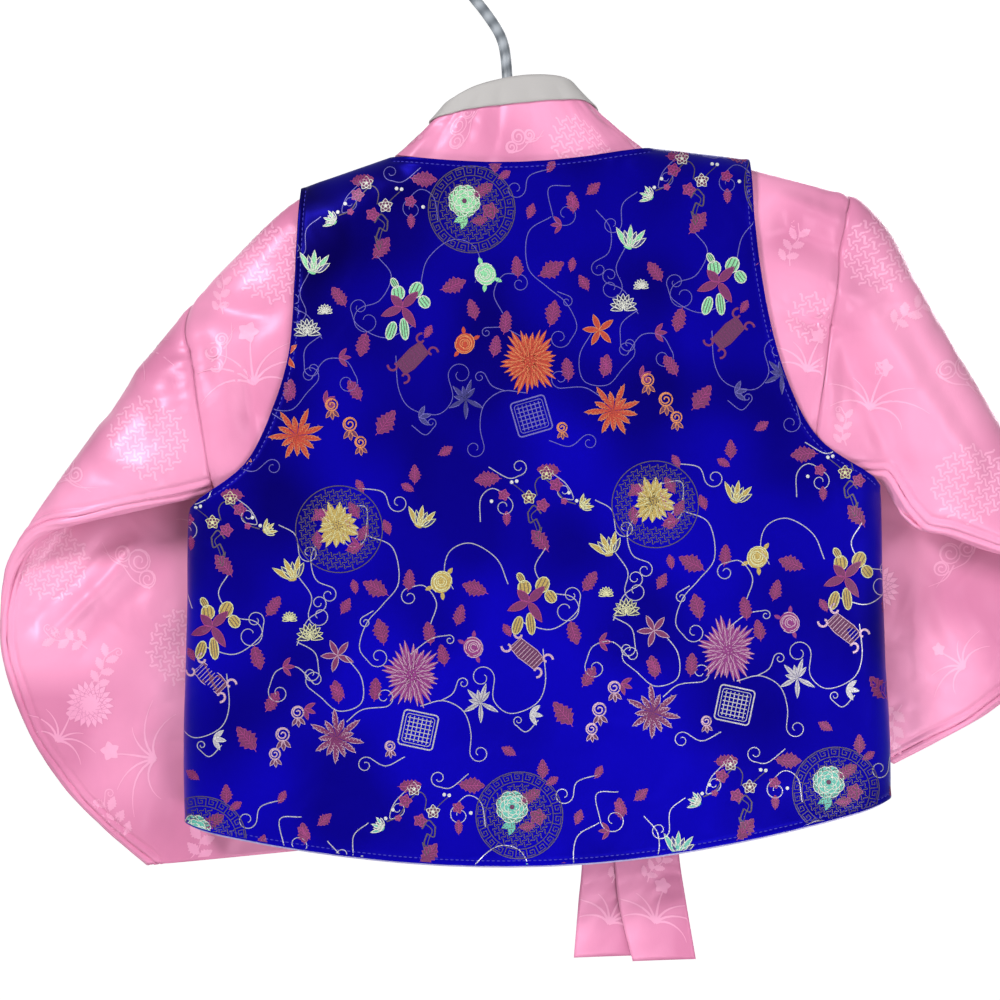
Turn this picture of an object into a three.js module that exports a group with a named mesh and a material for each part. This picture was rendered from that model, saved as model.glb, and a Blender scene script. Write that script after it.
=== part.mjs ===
// A child's hanbok set on a clothes hanger: a pink jacket (jeogori) with its collar band, white
// collar strip and tied breast ribbon, under a blue vest, seen with its back towards -Y.
// Millimetres, +Z up. The origin is the point inside the hook that bears on a rail.
// +X is the wearer's right-hand side, and both sleeves are folded forward over the front (+Y).
import * as THREE from "three";

// ---- driving sizes -------------------------------------------------------------------------
const SEAM_GAP = 0.3; // pieces stop this far from each other
const JACKET_WALL = 1.5; // lined satin
const VEST_WALL = 1.6; // lined brocade
const BAND_WALL = 2.2; // stiffened collar band
const STRIP_WALL = 0.8; // white collar strip, folded over the band's edge
const RIBBON_WALL = 1.4; // doubled satin ribbon

const ROD_RADIUS = 3.4; // hook, with its wrapping
const HOOK_RADIUS = 23; // middle of the rod to the hook's centre
const HOOK_CENTRE_Z = 112; // above the garment's neck level
const HOOK_X = -6; // the garment hangs a little to the right of the hook
const HUB_Z = 14; // where the hook enters the hanger's arms

const TORSO_DEPTH = 12.5; // half the depth of the hanging jacket
const SLEEVE_DEPTH = 5.5; // half the depth of a sleeve
const SHOULDER_REACH = 24; // how far below the shoulder line the cloth rounds out to full depth
const SIDE_REACH = 24; // the same, in from a side seam
const CLEAR = 0.35; // half the gap in a sewn seam
const CREASE_CLEAR = 0.15; // more of it where a seam is rolled round the crease

const JACKET_HEM_Z = -384;
const VEST_BACK_OVER = 3.6; // the vest's wall outside the jacket's, at the back
const VEST_FRONT_OVER = 6.6; // and at the front, over the collar band
const VEST_FLARE = 1.5; // the vest stands out this much more at its hem
const FRONT_LAP_LIFT = 2.7; // the left front lies on the right front

// The jacket is cut as a T. Each side has its shoulder tip, the top of its sleeve seam, the
// slope of the sleeve, and the crease along which the sleeve folds forward.
// "out" is the distance from the garment's middle.
const ARMHOLE = 171;
const SLEEVE_LENGTH = 338;
const SIDES = {
  left: {
    sign: -1,
    neck: [77, -2],
    tip: [131, -19],
    seamTop: [212, -27],
    slope: 7,
    crease: { from: [124, -24], slope: 50.4 },
  },
  right: {
    sign: 1,
    neck: [79, -3],
    tip: [138, -12],
    seamTop: [198, -30],
    slope: 10,
    crease: { from: [182, -14], slope: 62.5 },
  },
};

// Width of the sleeve under its top edge, from the armhole seam to the cuff.
const SLEEVE_WIDTH = [
  { along: 0, left: 171, right: 171 },
  { along: 20, left: 171.5, right: 168.5 },
  { along: 42, left: 173, right: 166.5 },
  { along: 48, left: 173.5, right: 170 },
  { along: 56, left: 174, right: 181 },
  { along: 68, left: 174.5, right: 192.5 },
  { along: 88, left: 176, right: 194.5 },
  { along: 112, left: 178, right: 200 },
  { along: 160, left: 190, right: 205 },
  { along: 200, left: 194, right: 210 },
  { along: 247, left: 183, right: 203 },
  { along: 285, left: 164, right: 184 },
  { along: 314, left: 141, right: 162 },
  { along: 338, left: 118, right: 142 },
];

// Radius of the soft fold at each distance down the crease.
const CREASE_RADIUS = [
  { along: 0, left: 7, right: 7 },
  { along: 40, left: 12, right: 13 },
  { along: 80, left: 17.5, right: 16 },
  { along: 135, left: 20, right: 17 },
  { along: 200, left: 18, right: 17 },
  { along: 270, left: 16, right: 17 },
  { along: 420, left: 16, right: 17 },
];

// Half width of the vest at each height: down the armhole to the underarm, then the side seam.
const VEST_EDGE = [
  { z: -8, left: 131.5, right: 139 },
  { z: -40, left: 134.5, right: 139.5 },
  { z: -76, left: 137.5, right: 142.5 },
  { z: -106, left: 140.5, right: 147 },
  { z: -126, left: 145, right: 151.5 },
  { z: -145, left: 152, right: 157.5 },
  { z: -165, left: 161, right: 166 },
  { z: -180, left: 171, right: 177 },
  { z: -191, left: 185, right: 192 },
  { z: -198, left: 197, right: 203.5 },
  { z: -204, left: 204.5, right: 210 },
  { z: -208, left: 206.5, right: 211 },
  { z: -266, left: 209.5, right: 210.5 },
  { z: -314, left: 212.5, right: 210.5 },
  { z: -350, left: 214.5, right: 211.5 },
  { z: -394, left: 215.5, right: 211 },
];
const VEST_UNDERARM_Z = -206;
const VEST_TIP_Z = { left: -14.5, right: -6.5 };
const VEST_NECK = { left: -77, right: 80, z: 2.5, dip: 7 };
const VEST_CORNER_Z = -394;
const VEST_HEM_DROP = 32; // the back hem is this much lower in the middle than at the side
const VEST_FRONT_DROP = 23; // and the front hem

// Rows down a vest edge, close together where the cloth turns.
const VEST_ROWS_Z = [
  -14, -14.6, -18, -26, -38, -58, -84, -110, -130, -149, -166, -180, -190, -197, -202, -206, -230, -280,
  -336, -394,
];
// Inner edge of each vest front, from the neck down: a V, then a straight edge with the opening.
const VEST_OPENING = [
  { z: 4, left: -77, right: 80 },
  { z: -60, left: -62, right: 66 },
  { z: -120, left: -42, right: 53 },
  { z: -175, left: -25, right: 41 },
  { z: -215, left: -22, right: 38 },
  { z: -420, left: -20, right: 41 },
];

// The collar band: its sewn edge ("base") and its free edge ("top"), from the end on the left
// front, up over the left shoulder, round the back of the neck and down the right front.
// y null lies on the front it is sewn to.
const BAND = [
  { baseX: -12, baseY: null, baseZ: -172, topX: 32, topY: null, topZ: -151 },
  { baseX: -27, baseY: null, baseZ: -134, topX: 17, topY: null, topZ: -114 },
  { baseX: -41, baseY: null, baseZ: -96, topX: 2, topY: null, topZ: -76 },
  { baseX: -55, baseY: null, baseZ: -55, topX: -14, topY: null, topZ: -34 },
  { baseX: -68, baseY: 10.5, baseZ: -20, topX: -30, topY: 14.5, topZ: 4 },
  { baseX: -74.5, baseY: 3, baseZ: 1, topX: -42.5, topY: 6.5, topZ: 24.5 },
  { baseX: -68, baseY: -5.5, baseZ: 2.5, topX: -43, topY: -3, topZ: 31.5 },
  { baseX: -40, baseY: -10.6, baseZ: -3, topX: -27, topY: -8, topZ: 40.5 },
  { baseX: 1, baseY: -11.6, baseZ: -6.5, topX: -2, topY: -9, topZ: 45.5 },
  { baseX: 43, baseY: -10.6, baseZ: -3, topX: 20, topY: -8.5, topZ: 46 },
  { baseX: 66, baseY: -7, baseZ: 0, topX: 32.5, topY: -5, topZ: 42.5 },
  { baseX: 77, baseY: 3, baseZ: 0, topX: 38.5, topY: 3, topZ: 29 },
  { baseX: 70, baseY: 10.5, baseZ: -22, topX: 33, topY: 11.5, topZ: 4 },
  { baseX: 56, baseY: null, baseZ: -57, topX: 18, topY: null, topZ: -32 },
  { baseX: 41, baseY: null, baseZ: -96, topX: 1, topY: null, topZ: -74 },
  { baseX: 26, baseY: null, baseZ: -134, topX: -15, topY: null, topZ: -113 },
];
const STRIP_COVERS = 13; // depth of the white strip on the outside of the band
const STRIP_INSIDE = 8; // and on its inside
const BAND_STEPS = 40;
const STRIP_STEPS = [4, 38]; // of the band's steps, where the strip starts and ends

// The tied ribbon: two tails that hang down the front, a loop and a knot.
const KNOT = { x: 22, y: 24.2, z: -176, rx: 10.8, ry: 5.6, rz: 12.5 };
const TAILS = {
  ribbon_tail_left: [
    { z: -188.9, from: 14, to: 29, y: 24 },
    { z: -215, from: 8, to: 44, y: 23.8 },
    { z: -260, from: 9, to: 50, y: 23.8 },
    { z: -330, from: 15, to: 57, y: 24.4 },
    { z: -400, from: 22, to: 64, y: 25.2 },
    { z: -430, from: 24, to: 66, y: 25.4 },
    { z: -456, from: 21, to: 62, y: 25.6 },
    { z: -490, from: 17, to: 58, y: 25.8 },
  ],
  ribbon_tail_right: [
    { z: -188.9, from: 16, to: 31, y: 21.9 },
    { z: -215, from: 20, to: 56, y: 21.6 },
    { z: -260, from: 28, to: 69, y: 21.7 },
    { z: -330, from: 36, to: 77, y: 22.3 },
    { z: -400, from: 42, to: 83, y: 23.1 },
    { z: -430, from: 44, to: 84, y: 23.2 },
    { z: -456, from: 45.5, to: 87, y: 23.2 },
    { z: -493, from: 53, to: 92, y: 23.2 },
  ],
};
const LOOP = [
  { x: 10.9, y: 22.4, z: -174.5, half: 7 },
  { x: -4, y: 21.9, z: -176, half: 13 },
  { x: -26, y: 21.9, z: -181, half: 18 },
  { x: -46, y: 22.4, z: -186, half: 20 },
  { x: -55, y: 25.6, z: -189, half: 20.5 },
  { x: -47, y: 29, z: -187, half: 20 },
  { x: -27, y: 30, z: -180, half: 18 },
  { x: -6, y: 28.6, z: -175, half: 13 },
  { x: 10.9, y: 26, z: -174, half: 7 },
];

// Hanger arms: the height of their top under the jacket's shoulder line follows that line.
const ARM_HALF_SPAN = 114;
const ARM_RADIUS = 3.2;

// ---- small helpers -------------------------------------------------------------------------
const mix = (a, b, share) => a + (b - a) * share;
const degrees = THREE.MathUtils.degToRad;
const smooth = (from, to, value) => THREE.MathUtils.smoothstep(value, from, to);

// A smooth curve through one named column of a table.
function lookUp(table, key, column, value) {
  const rising = table[table.length - 1][key] > table[0][key] ? 1 : -1;
  let i = 0;
  while (i < table.length - 2 && (value - table[i + 1][key]) * rising > 0) i++;
  const near = (k) => table[THREE.MathUtils.clamp(k, 0, table.length - 1)];
  const [before, start, end, after] = [i - 1, i, i + 1, i + 2].map(near);
  const span = end[key] - start[key];
  const share = THREE.MathUtils.clamp((value - start[key]) / span, 0, 1);
  const slopeStart = (span * (end[column] - before[column])) / (end[key] - before[key]);
  const slopeEnd = (span * (after[column] - start[column])) / (after[key] - start[key]);
  const s2 = share * share;
  const s3 = s2 * share;
  return (
    start[column] * (2 * s3 - 3 * s2 + 1) +
    slopeStart * (s3 - 2 * s2 + share) +
    end[column] * (3 * s2 - 2 * s3) +
    slopeEnd * (s3 - s2)
  );
}

function distanceToLine(point, line) {
  let least = Infinity;
  for (let i = 0; i + 1 < line.length; i++) {
    const [ax, az] = line[i];
    const [bx, bz] = [line[i + 1][0] - ax, line[i + 1][1] - az];
    const [px, pz] = [point[0] - ax, point[1] - az];
    const share = THREE.MathUtils.clamp((px * bx + pz * bz) / (bx * bx + bz * bz), 0, 1);
    least = Math.min(least, Math.hypot(px - share * bx, pz - share * bz));
  }
  return least;
}

// Rises from 0 at an edge to 1 at "reach" inside it, as a quarter of an ellipse does.
function roundOut(distance, reach) {
  const inside = 1 - THREE.MathUtils.clamp(distance / reach, 0, 1);
  return Math.sqrt(1 - inside * inside);
}

// A closed wall on both sides of a grid of points. "wrap" joins the last column to the first.
function wall(points, thickness, wrap = false) {
  const rows = points.length;
  const columns = points[0].length;
  const at = (j, i) => points[j][wrap ? (i + columns) % columns : THREE.MathUtils.clamp(i, 0, columns - 1)];
  const positions = [];
  for (const side of [0.5, -0.5])
    for (let j = 0; j < rows; j++)
      for (let i = 0; i < columns; i++) {
        const across = at(j, i + 1).clone().sub(at(j, i - 1));
        const along = at(Math.min(j + 1, rows - 1), i).clone().sub(at(Math.max(j - 1, 0), i));
        const normal = across.cross(along).normalize();
        positions.push(...at(j, i).clone().addScaledVector(normal, side * thickness).toArray());
      }
  const index = [];
  const id = (side, j, i) => (side * rows + j) * columns + (i % columns);
  const quad = (a, b, c, d) => index.push(a, b, c, a, c, d);
  const lastColumn = wrap ? columns : columns - 1;
  for (let j = 0; j + 1 < rows; j++)
    for (let i = 0; i < lastColumn; i++) {
      quad(id(0, j, i), id(0, j, i + 1), id(0, j + 1, i + 1), id(0, j + 1, i));
      quad(id(1, j, i), id(1, j + 1, i), id(1, j + 1, i + 1), id(1, j, i + 1));
    }
  for (let i = 0; i < lastColumn; i++) {
    quad(id(0, 0, i), id(1, 0, i), id(1, 0, i + 1), id(0, 0, i + 1));
    quad(id(0, rows - 1, i + 1), id(1, rows - 1, i + 1), id(1, rows - 1, i), id(0, rows - 1, i));
  }
  if (!wrap)
    for (let j = 0; j + 1 < rows; j++) {
      quad(id(0, j + 1, 0), id(1, j + 1, 0), id(1, j, 0), id(0, j, 0));
      quad(id(0, j, lastColumn), id(1, j, lastColumn), id(1, j + 1, lastColumn), id(0, j + 1, lastColumn));
    }
  const geometry = new THREE.BufferGeometry();
  geometry.setAttribute("position", new THREE.Float32BufferAttribute(positions, 3));
  geometry.setIndex(index);
  geometry.computeVertexNormals();
  return geometry;
}

// ---- the jacket's flat cut and its folds ---------------------------------------------------
// A point of a sleeve, "along" from its seam and "down" from its top edge, in the flat cut.
function sleevePoint(side, along, down) {
  const slope = degrees(side.slope);
  return [
    side.seamTop[0] + along * Math.cos(slope) - down * Math.sin(slope),
    side.seamTop[1] - along * Math.sin(slope) - down * Math.cos(slope),
  ];
}

for (const [name, side] of Object.entries(SIDES)) {
  const widthAt = (along) => lookUp(SLEEVE_WIDTH, "along", name, along);
  const stations = Array.from({ length: 23 }, (_, i) => (SLEEVE_LENGTH * (i + 1)) / 23);
  side.widthAt = widthAt;
  side.armpit = sleevePoint(side, 0, ARMHOLE);
  side.topLine = [side.neck, side.tip, side.seamTop, sleevePoint(side, SLEEVE_LENGTH, 0)];
  side.lowLine = [
    [side.armpit[0] + 3, JACKET_HEM_Z - 40],
    side.armpit,
    ...stations.map((along) => sleevePoint(side, along, widthAt(along))),
  ];
}

const sideOf = (x) => (x < 0 ? SIDES.left : SIDES.right);
const sideName = (x) => (x < 0 ? "left" : "right");

// How far a flat point lies past the crease of its side, and how far down the crease.
function pastCrease(side, out, z) {
  const slope = degrees(side.crease.slope);
  const [x, h] = [out - side.crease.from[0], z - side.crease.from[1]];
  return {
    past: x * Math.sin(slope) + h * Math.cos(slope),
    down: x * Math.cos(slope) - h * Math.sin(slope),
  };
}

// Full half depth of the cloth near a flat point: deep over the torso, shallow at the sleeves.
function fullDepth(side, out, z) {
  const { past } = pastCrease(side, out, z);
  return mix(TORSO_DEPTH, SLEEVE_DEPTH, smooth(-30, 22, past));
}

function jacketDepth(x, z) {
  const side = sideOf(x);
  const point = [Math.abs(x), z];
  const top = Math.min(
    distanceToLine(point, side.topLine),
    distanceToLine([-Math.abs(x), z], sideOf(-x).topLine),
  );
  const low = distanceToLine(point, side.lowLine);
  const extra = CREASE_CLEAR * smooth(-10, 10, pastCrease(side, ...point).past);
  const rounded = roundOut(top, SHOULDER_REACH) * roundOut(low, SIDE_REACH);
  return fullDepth(side, ...point) * rounded + CLEAR + extra;
}

// Rolls flat cloth forward round its side's crease. y is the depth of the point in the flat cloth.
function fold(x, y, z) {
  const side = sideOf(x);
  const { past, down } = pastCrease(side, Math.abs(x), z);
  if (past <= 0) return new THREE.Vector3(x, y, z);
  const radius = lookUp(CREASE_RADIUS, "along", sideName(x), THREE.MathUtils.clamp(down, 0, 420));
  const turn = Math.min(past / radius, Math.PI);
  const straight = past - turn * radius;
  const moved = (radius - y) * Math.sin(turn) - straight - past;
  const slope = degrees(side.crease.slope);
  return new THREE.Vector3(
    x + side.sign * moved * Math.sin(slope),
    radius - (radius - y) * Math.cos(turn),
    z + moved * Math.cos(slope),
  );
}

// A panel of cloth. Each column is "edge" mm in from the side seam, then "share" of the way from
// there to the panel's other edge; rows run from its top edge to its hem.
function panel({ columns, rows, edgeX, farX, topZ, hemZ, depth }) {
  return rows.map((down) =>
    columns.map(({ edge = 0, share = 0 }) => {
      const across = (low) => {
        const start = edgeX(low) + edge * Math.sign(farX(low) - edgeX(low));
        return mix(start, farX(low), share);
      };
      const top = across(0);
      return depth(across(down), mix(topZ(top), hemZ(top), down));
    }),
  );
}

const columnsIn = (edges, inner) => [
  ...edges.map((edge) => ({ edge })),
  ...Array.from({ length: inner }, (_, i) => ({ edge: edges.at(-1), share: (i + 1) / inner })),
];

// ---- jacket --------------------------------------------------------------------------------
const ARMPIT_SHARE = 0.475; // of the way down the side edge
const JACKET_ROWS = [
  0, 0.0015, 0.012, 0.038, 0.07, 0.15, 0.24, 0.33, 0.4, 0.438, 0.46, 0.471, ARMPIT_SHARE, 0.53, 0.6, 0.7,
  0.8, 0.9, 1,
];

function jacketSideX(name) {
  const side = SIDES[name];
  return (down) => {
    const [topX] = side.seamTop;
    const [pitX] = side.armpit;
    const share = Math.min(down / ARMPIT_SHARE, 1);
    const below = Math.max(down - ARMPIT_SHARE, 0) / (1 - ARMPIT_SHARE);
    return side.sign * (mix(topX, pitX, share) + 3 * below - (share < 1 ? CLEAR + CREASE_CLEAR : 0));
  };
}

// Height of the jacket's shoulder line.
function shoulderZ(x) {
  const { neck, tip, seamTop } = sideOf(x);
  const out = Math.max(Math.abs(x), neck[0]);
  if (out < tip[0]) return mix(neck[1], tip[1], (out - neck[0]) / (tip[0] - neck[0]));
  return mix(tip[1], seamTop[1], (out - tip[0]) / (seamTop[0] - tip[0]));
}

const JACKET_EDGES = [0, 1, 4, 9, 20, 32, 44, 56, 68, 82, 98];

// One side of a jacket panel, from its sleeve and side seam to its other edge.
function jacketHalf(name, inner, farX, topZ, depth) {
  return panel({
    columns: columnsIn(JACKET_EDGES, inner),
    rows: JACKET_ROWS,
    edgeX: jacketSideX(name),
    farX,
    topZ,
    hemZ: () => JACKET_HEM_Z,
    depth,
  });
}

// Joins a left half and a right half that share their last column.
const joinHalves = (left, right) => left.map((row, j) => [...row, ...[...right[j]].reverse().slice(1)]);

function jacketBack() {
  const neckDip = 6.5;
  const topZ = (x) => {
    const neckX = sideOf(x).neck[0];
    const dip = Math.abs(x) < neckX ? neckDip * Math.cos((Math.PI / 2) * (x / neckX)) : 0;
    return shoulderZ(x) - dip;
  };
  const half = (name) => jacketHalf(name, 5, () => 0, topZ, (x, z) => fold(x, -jacketDepth(x, z), z));
  return wall(joinHalves(half("left"), half("right")), JACKET_WALL);
}

// How far the left front is lifted off the right front, where it laps over it.
const lapLift = (x) => FRONT_LAP_LIFT * smooth(-95, -58, x);
const leftFrontY = (x, z) => jacketDepth(x, z) + lapLift(x);

// Inner edge of each front: down the collar band's sewn edge from the neck, under the end of
// the band, then past the middle. "left" is measured to the left and "right" to the right.
const FRONT_EDGE = [
  { z: -2, left: 76.5, right: 79 },
  { z: -20, left: 69.4, right: 72.6 },
  { z: -56, left: 56, right: 58.6 },
  { z: -96, left: 41.6, right: 43 },
  { z: -130, left: 28.8, right: 30 },
  { z: -150, left: 8, right: 14 },
  { z: -168, left: -30, right: -6 },
  { z: -190, left: -44, right: -34 },
  { z: -235, left: -52, right: -52 },
  { z: JACKET_HEM_Z, left: -60, right: -60 },
];

function jacketFront(name) {
  const side = SIDES[name];
  const inner = (down) => side.sign * lookUp(FRONT_EDGE, "z", name, mix(side.neck[1], JACKET_HEM_Z, down));
  const depth = name === "left" ? leftFrontY : jacketDepth;
  const half = jacketHalf(name, 6, inner, shoulderZ, (x, z) => fold(x, depth(x, z), z));
  const grid = name === "left" ? half.map((row) => [...row].reverse()) : half;
  return wall(grid, JACKET_WALL);
}

// A sleeve: a flat tube in rings from the armhole seam to the cuff, folded forward.
function sleeve(name) {
  const side = SIDES[name];
  const shares = JACKET_ROWS.filter((row) => row <= ARMPIT_SHARE).map((row) => row / ARMPIT_SHARE);
  const last = shares.length - 1;
  const stations = [
    0.7, 2.5, 15, 30, 42, 49, 57, 69, 86, 104, 122, 140, 160, 180, 200, 222, 245, 268, 290, 314, 338,
  ];
  const grid = stations.map((along) => {
    const width = side.widthAt(along);
    return Array.from({ length: 2 * last }, (_, k) => {
      const [out, z] = sleevePoint(side, along, width * shares[k <= last ? k : 2 * last - k]);
      const x = side.sign * out;
      const depth = k % last === 0 ? 0 : jacketDepth(x, z);
      return fold(x, k < last ? -depth : depth, z);
    });
  });
  return wall(side.sign < 0 ? grid.map((ring) => [...ring].reverse()) : grid, JACKET_WALL, true);
}

// ---- vest ----------------------------------------------------------------------------------
const VEST_SIDE_LINE = {
  left: VEST_EDGE.filter((row) => row.z < VEST_UNDERARM_Z).map((row) => [row.left, row.z]),
  right: VEST_EDGE.filter((row) => row.z < VEST_UNDERARM_Z).map((row) => [row.right, row.z]),
};
const vestTipX = (name) => lookUp(VEST_EDGE, "z", name, VEST_TIP_Z[name]);
const VEST_LEFT_X = -vestTipX("left");
const VEST_RIGHT_X = vestTipX("right");

// Height of the vest's shoulder line and, between the neck points, of its back neckline.
function vestTopZ(x) {
  const name = sideName(x);
  const neckX = VEST_NECK[name];
  if (Math.abs(x) > Math.abs(neckX)) {
    const tipX = name === "left" ? VEST_LEFT_X : VEST_RIGHT_X;
    return mix(VEST_NECK.z, VEST_TIP_Z[name], (x - neckX) / (tipX - neckX));
  }
  const share = (x - VEST_NECK.left) / (VEST_NECK.right - VEST_NECK.left);
  return VEST_NECK.z - VEST_NECK.dip * Math.sin(Math.PI * share);
}

const VEST_TOP_LINE = {
  left: [
    [Math.abs(VEST_NECK.left), VEST_NECK.z],
    [Math.abs(VEST_LEFT_X), VEST_TIP_Z.left],
  ],
  right: [
    [VEST_NECK.right, VEST_NECK.z],
    [VEST_RIGHT_X, VEST_TIP_Z.right],
  ],
};

function vestDepth(x, z, over) {
  const name = sideName(x);
  const point = [Math.abs(x), z];
  const other = name === "left" ? "right" : "left";
  const top = Math.min(
    distanceToLine(point, VEST_TOP_LINE[name]),
    distanceToLine([-point[0], z], VEST_TOP_LINE[other]),
  );
  const low = distanceToLine(point, [...VEST_SIDE_LINE[name], [VEST_SIDE_LINE[name].at(-1)[0], -500]]);
  const full = fullDepth(SIDES[name], ...point) + over + VEST_FLARE * smooth(200, -VEST_CORNER_Z, -z);
  return full * roundOut(top, SHOULDER_REACH) * roundOut(low, SIDE_REACH) + CLEAR;
}

function vestSideX(name) {
  return (down) => {
    const z = mix(VEST_TIP_Z[name], VEST_CORNER_Z, down);
    return SIDES[name].sign * lookUp(VEST_EDGE, "z", name, z);
  };
}

const VEST_ROWS = VEST_ROWS_Z.map((z) => (z - VEST_ROWS_Z[0]) / (VEST_ROWS_Z.at(-1) - VEST_ROWS_Z[0]));

// The hem's drop, as a share of its drop in the middle, below a point of the shoulder line.
function vestHemShare(x) {
  const tip = vestTipX(sideName(x));
  return Math.cos((Math.PI / 2) * Math.min(Math.abs(x) / tip, 1)) ** 0.85;
}

const VEST_EDGES = [0, 1, 4, 10, 22];

function vestBack() {
  const half = (name) =>
    panel({
      columns: columnsIn(VEST_EDGES, 7),
      rows: VEST_ROWS,
      edgeX: vestSideX(name),
      farX: () => 0,
      topZ: (x) => vestTopZ(x),
      hemZ: (x) => VEST_CORNER_Z - VEST_HEM_DROP * vestHemShare(x),
      depth: (x, z) => new THREE.Vector3(x, -vestDepth(x, z, VEST_BACK_OVER), z),
    });
  return wall(joinHalves(half("left"), half("right")), VEST_WALL);
}

function vestFront(name) {
  const half = panel({
    columns: columnsIn(VEST_EDGES, 5),
    rows: VEST_ROWS,
    edgeX: vestSideX(name),
    farX: (down) => lookUp(VEST_OPENING, "z", name, mix(VEST_NECK.z, VEST_CORNER_Z, down)),
    topZ: (x) => vestTopZ(x),
    hemZ: (x) => VEST_CORNER_Z - VEST_FRONT_DROP * vestHemShare(x),
    depth: (x, z) => new THREE.Vector3(x, vestDepth(x, z, VEST_FRONT_OVER), z),
  });
  return wall(name === "left" ? half.map((row) => [...row].reverse()) : half, VEST_WALL);
}

// ---- collar --------------------------------------------------------------------------------
const ON_FRONT = JACKET_WALL / 2 + SEAM_GAP + BAND_WALL / 2;
const BAND_ROWS = BAND.map((row, at) => {
  // The right-hand end lies under the left front, in the plane of the right front.
  const front = at < BAND.length / 2 ? leftFrontY : (x, z) => jacketDepth(x, z);
  const lift = at < BAND.length / 2 ? ON_FRONT : 0.25;
  return {
    ...row,
    at,
    baseY: row.baseY ?? front(row.baseX, row.baseZ) + lift,
    topY: row.topY ?? front(row.topX, row.topZ) + lift,
  };
});

// A point of the band, "along" 0..1 from its left-front end and "up" 0..1 from its sewn edge.
function bandPoint(along, up) {
  const at = along * (BAND_ROWS.length - 1);
  const corner = (edge) =>
    new THREE.Vector3(...["X", "Y", "Z"].map((axis) => lookUp(BAND_ROWS, "at", edge + axis, at)));
  return corner("base").lerp(corner("top"), up);
}

function bandNormal(along, up) {
  const step = 0.004;
  const across = bandPoint(along, up + 0.05).sub(bandPoint(along, up - 0.05));
  const forward = bandPoint(Math.min(along + step, 1), up).sub(bandPoint(Math.max(along - step, 0), up));
  return forward.cross(across).normalize();
}

const stepsBetween = (from, to, count) =>
  Array.from({ length: count + 1 }, (_, i) => mix(from, to, i / count));

function collarBand() {
  const grid = stepsBetween(0, 1, BAND_STEPS).map((along) =>
    [0, 0.24, 0.48, 0.72, 0.86, 1].map((up) => bandPoint(along, up)),
  );
  return wall(grid, BAND_WALL);
}

// The white strip: down the outside of the band, over its free edge, and down the inside.
function collarStrip() {
  const off = BAND_WALL / 2 + SEAM_GAP + 0.3 + STRIP_WALL / 2;
  const section = [
    { off, up: -STRIP_COVERS },
    { off, up: -STRIP_COVERS / 2 },
    { off, up: 1 },
    { off: 0, up: 3 },
    { off: -off, up: 1 },
    { off: -off, up: -STRIP_INSIDE },
  ];
  const [from, to] = STRIP_STEPS;
  const grid = stepsBetween(from / BAND_STEPS, to / BAND_STEPS, to - from).map((along) => {
    const width = bandPoint(along, 0).distanceTo(bandPoint(along, 1));
    return section.map((row) => {
      const up = 1 + row.up / width;
      return bandPoint(along, up).addScaledVector(bandNormal(along, up), row.off);
    });
  });
  return wall(grid, STRIP_WALL);
}

// ---- ribbon --------------------------------------------------------------------------------
function ribbonTail(rows) {
  const grid = stepsBetween(0, 1, 16).map((share) => {
    const z = mix(rows[0].z, rows.at(-1).z, share);
    const [from, to, y] = ["from", "to", "y"].map((column) => lookUp(rows, "z", column, z));
    return stepsBetween(0, 1, 4).map(
      (across) => new THREE.Vector3(mix(from, to, across), y + 0.35 * Math.sin(Math.PI * across), z),
    );
  });
  return wall(grid, RIBBON_WALL);
}

function ribbonLoop() {
  const rows = LOOP.map((row, at) => ({ ...row, at }));
  const grid = stepsBetween(0, rows.length - 1, 20).map((at) => {
    const [x, y, z, half] = ["x", "y", "z", "half"].map((column) => lookUp(rows, "at", column, at));
    return stepsBetween(-1, 1, 4).map((up) => new THREE.Vector3(x, y, z + up * half));
  });
  return wall(grid, RIBBON_WALL);
}

// A rounded block: a sphere with its sides pushed out.
function ribbonKnot() {
  const geometry = new THREE.SphereGeometry(1, 16, 10);
  geometry.deleteAttribute("normal");
  geometry.deleteAttribute("uv");
  const position = geometry.getAttribute("position");
  const push = (value) => Math.sign(value) * Math.abs(value) ** 0.7;
  for (let i = 0; i < position.count; i++)
    position.setXYZ(
      i,
      KNOT.rx * push(position.getX(i)),
      KNOT.ry * push(position.getY(i)),
      KNOT.rz * push(position.getZ(i)),
    );
  geometry.computeVertexNormals();
  return geometry;
}

// ---- hanger --------------------------------------------------------------------------------
// The rod: up from the hub, out to the left and over the rail, with its tip on the right.
function hangerHook() {
  const circle = (angle) =>
    new THREE.Vector3(
      HOOK_X + HOOK_RADIUS * Math.cos(degrees(angle)),
      0,
      HOOK_CENTRE_Z + HOOK_RADIUS * Math.sin(degrees(angle)),
    );
  const path = new THREE.CatmullRomCurve3([
    new THREE.Vector3(HOOK_X, 0, HUB_Z + ARM_RADIUS + SEAM_GAP),
    new THREE.Vector3(HOOK_X + 0.8, 0, 48),
    new THREE.Vector3(HOOK_X - 1.5, 0, 72),
    new THREE.Vector3(HOOK_X - 11, 0, 89),
    ...[200, 175, 150, 120, 90, 60, 30, 5, -20].map(circle),
  ]);
  const section = new THREE.Shape();
  section.absarc(0, 0, ROD_RADIUS, 0, 2 * Math.PI);
  return new THREE.ExtrudeGeometry(section, { steps: 32, curveSegments: 6, extrudePath: path });
}

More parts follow.
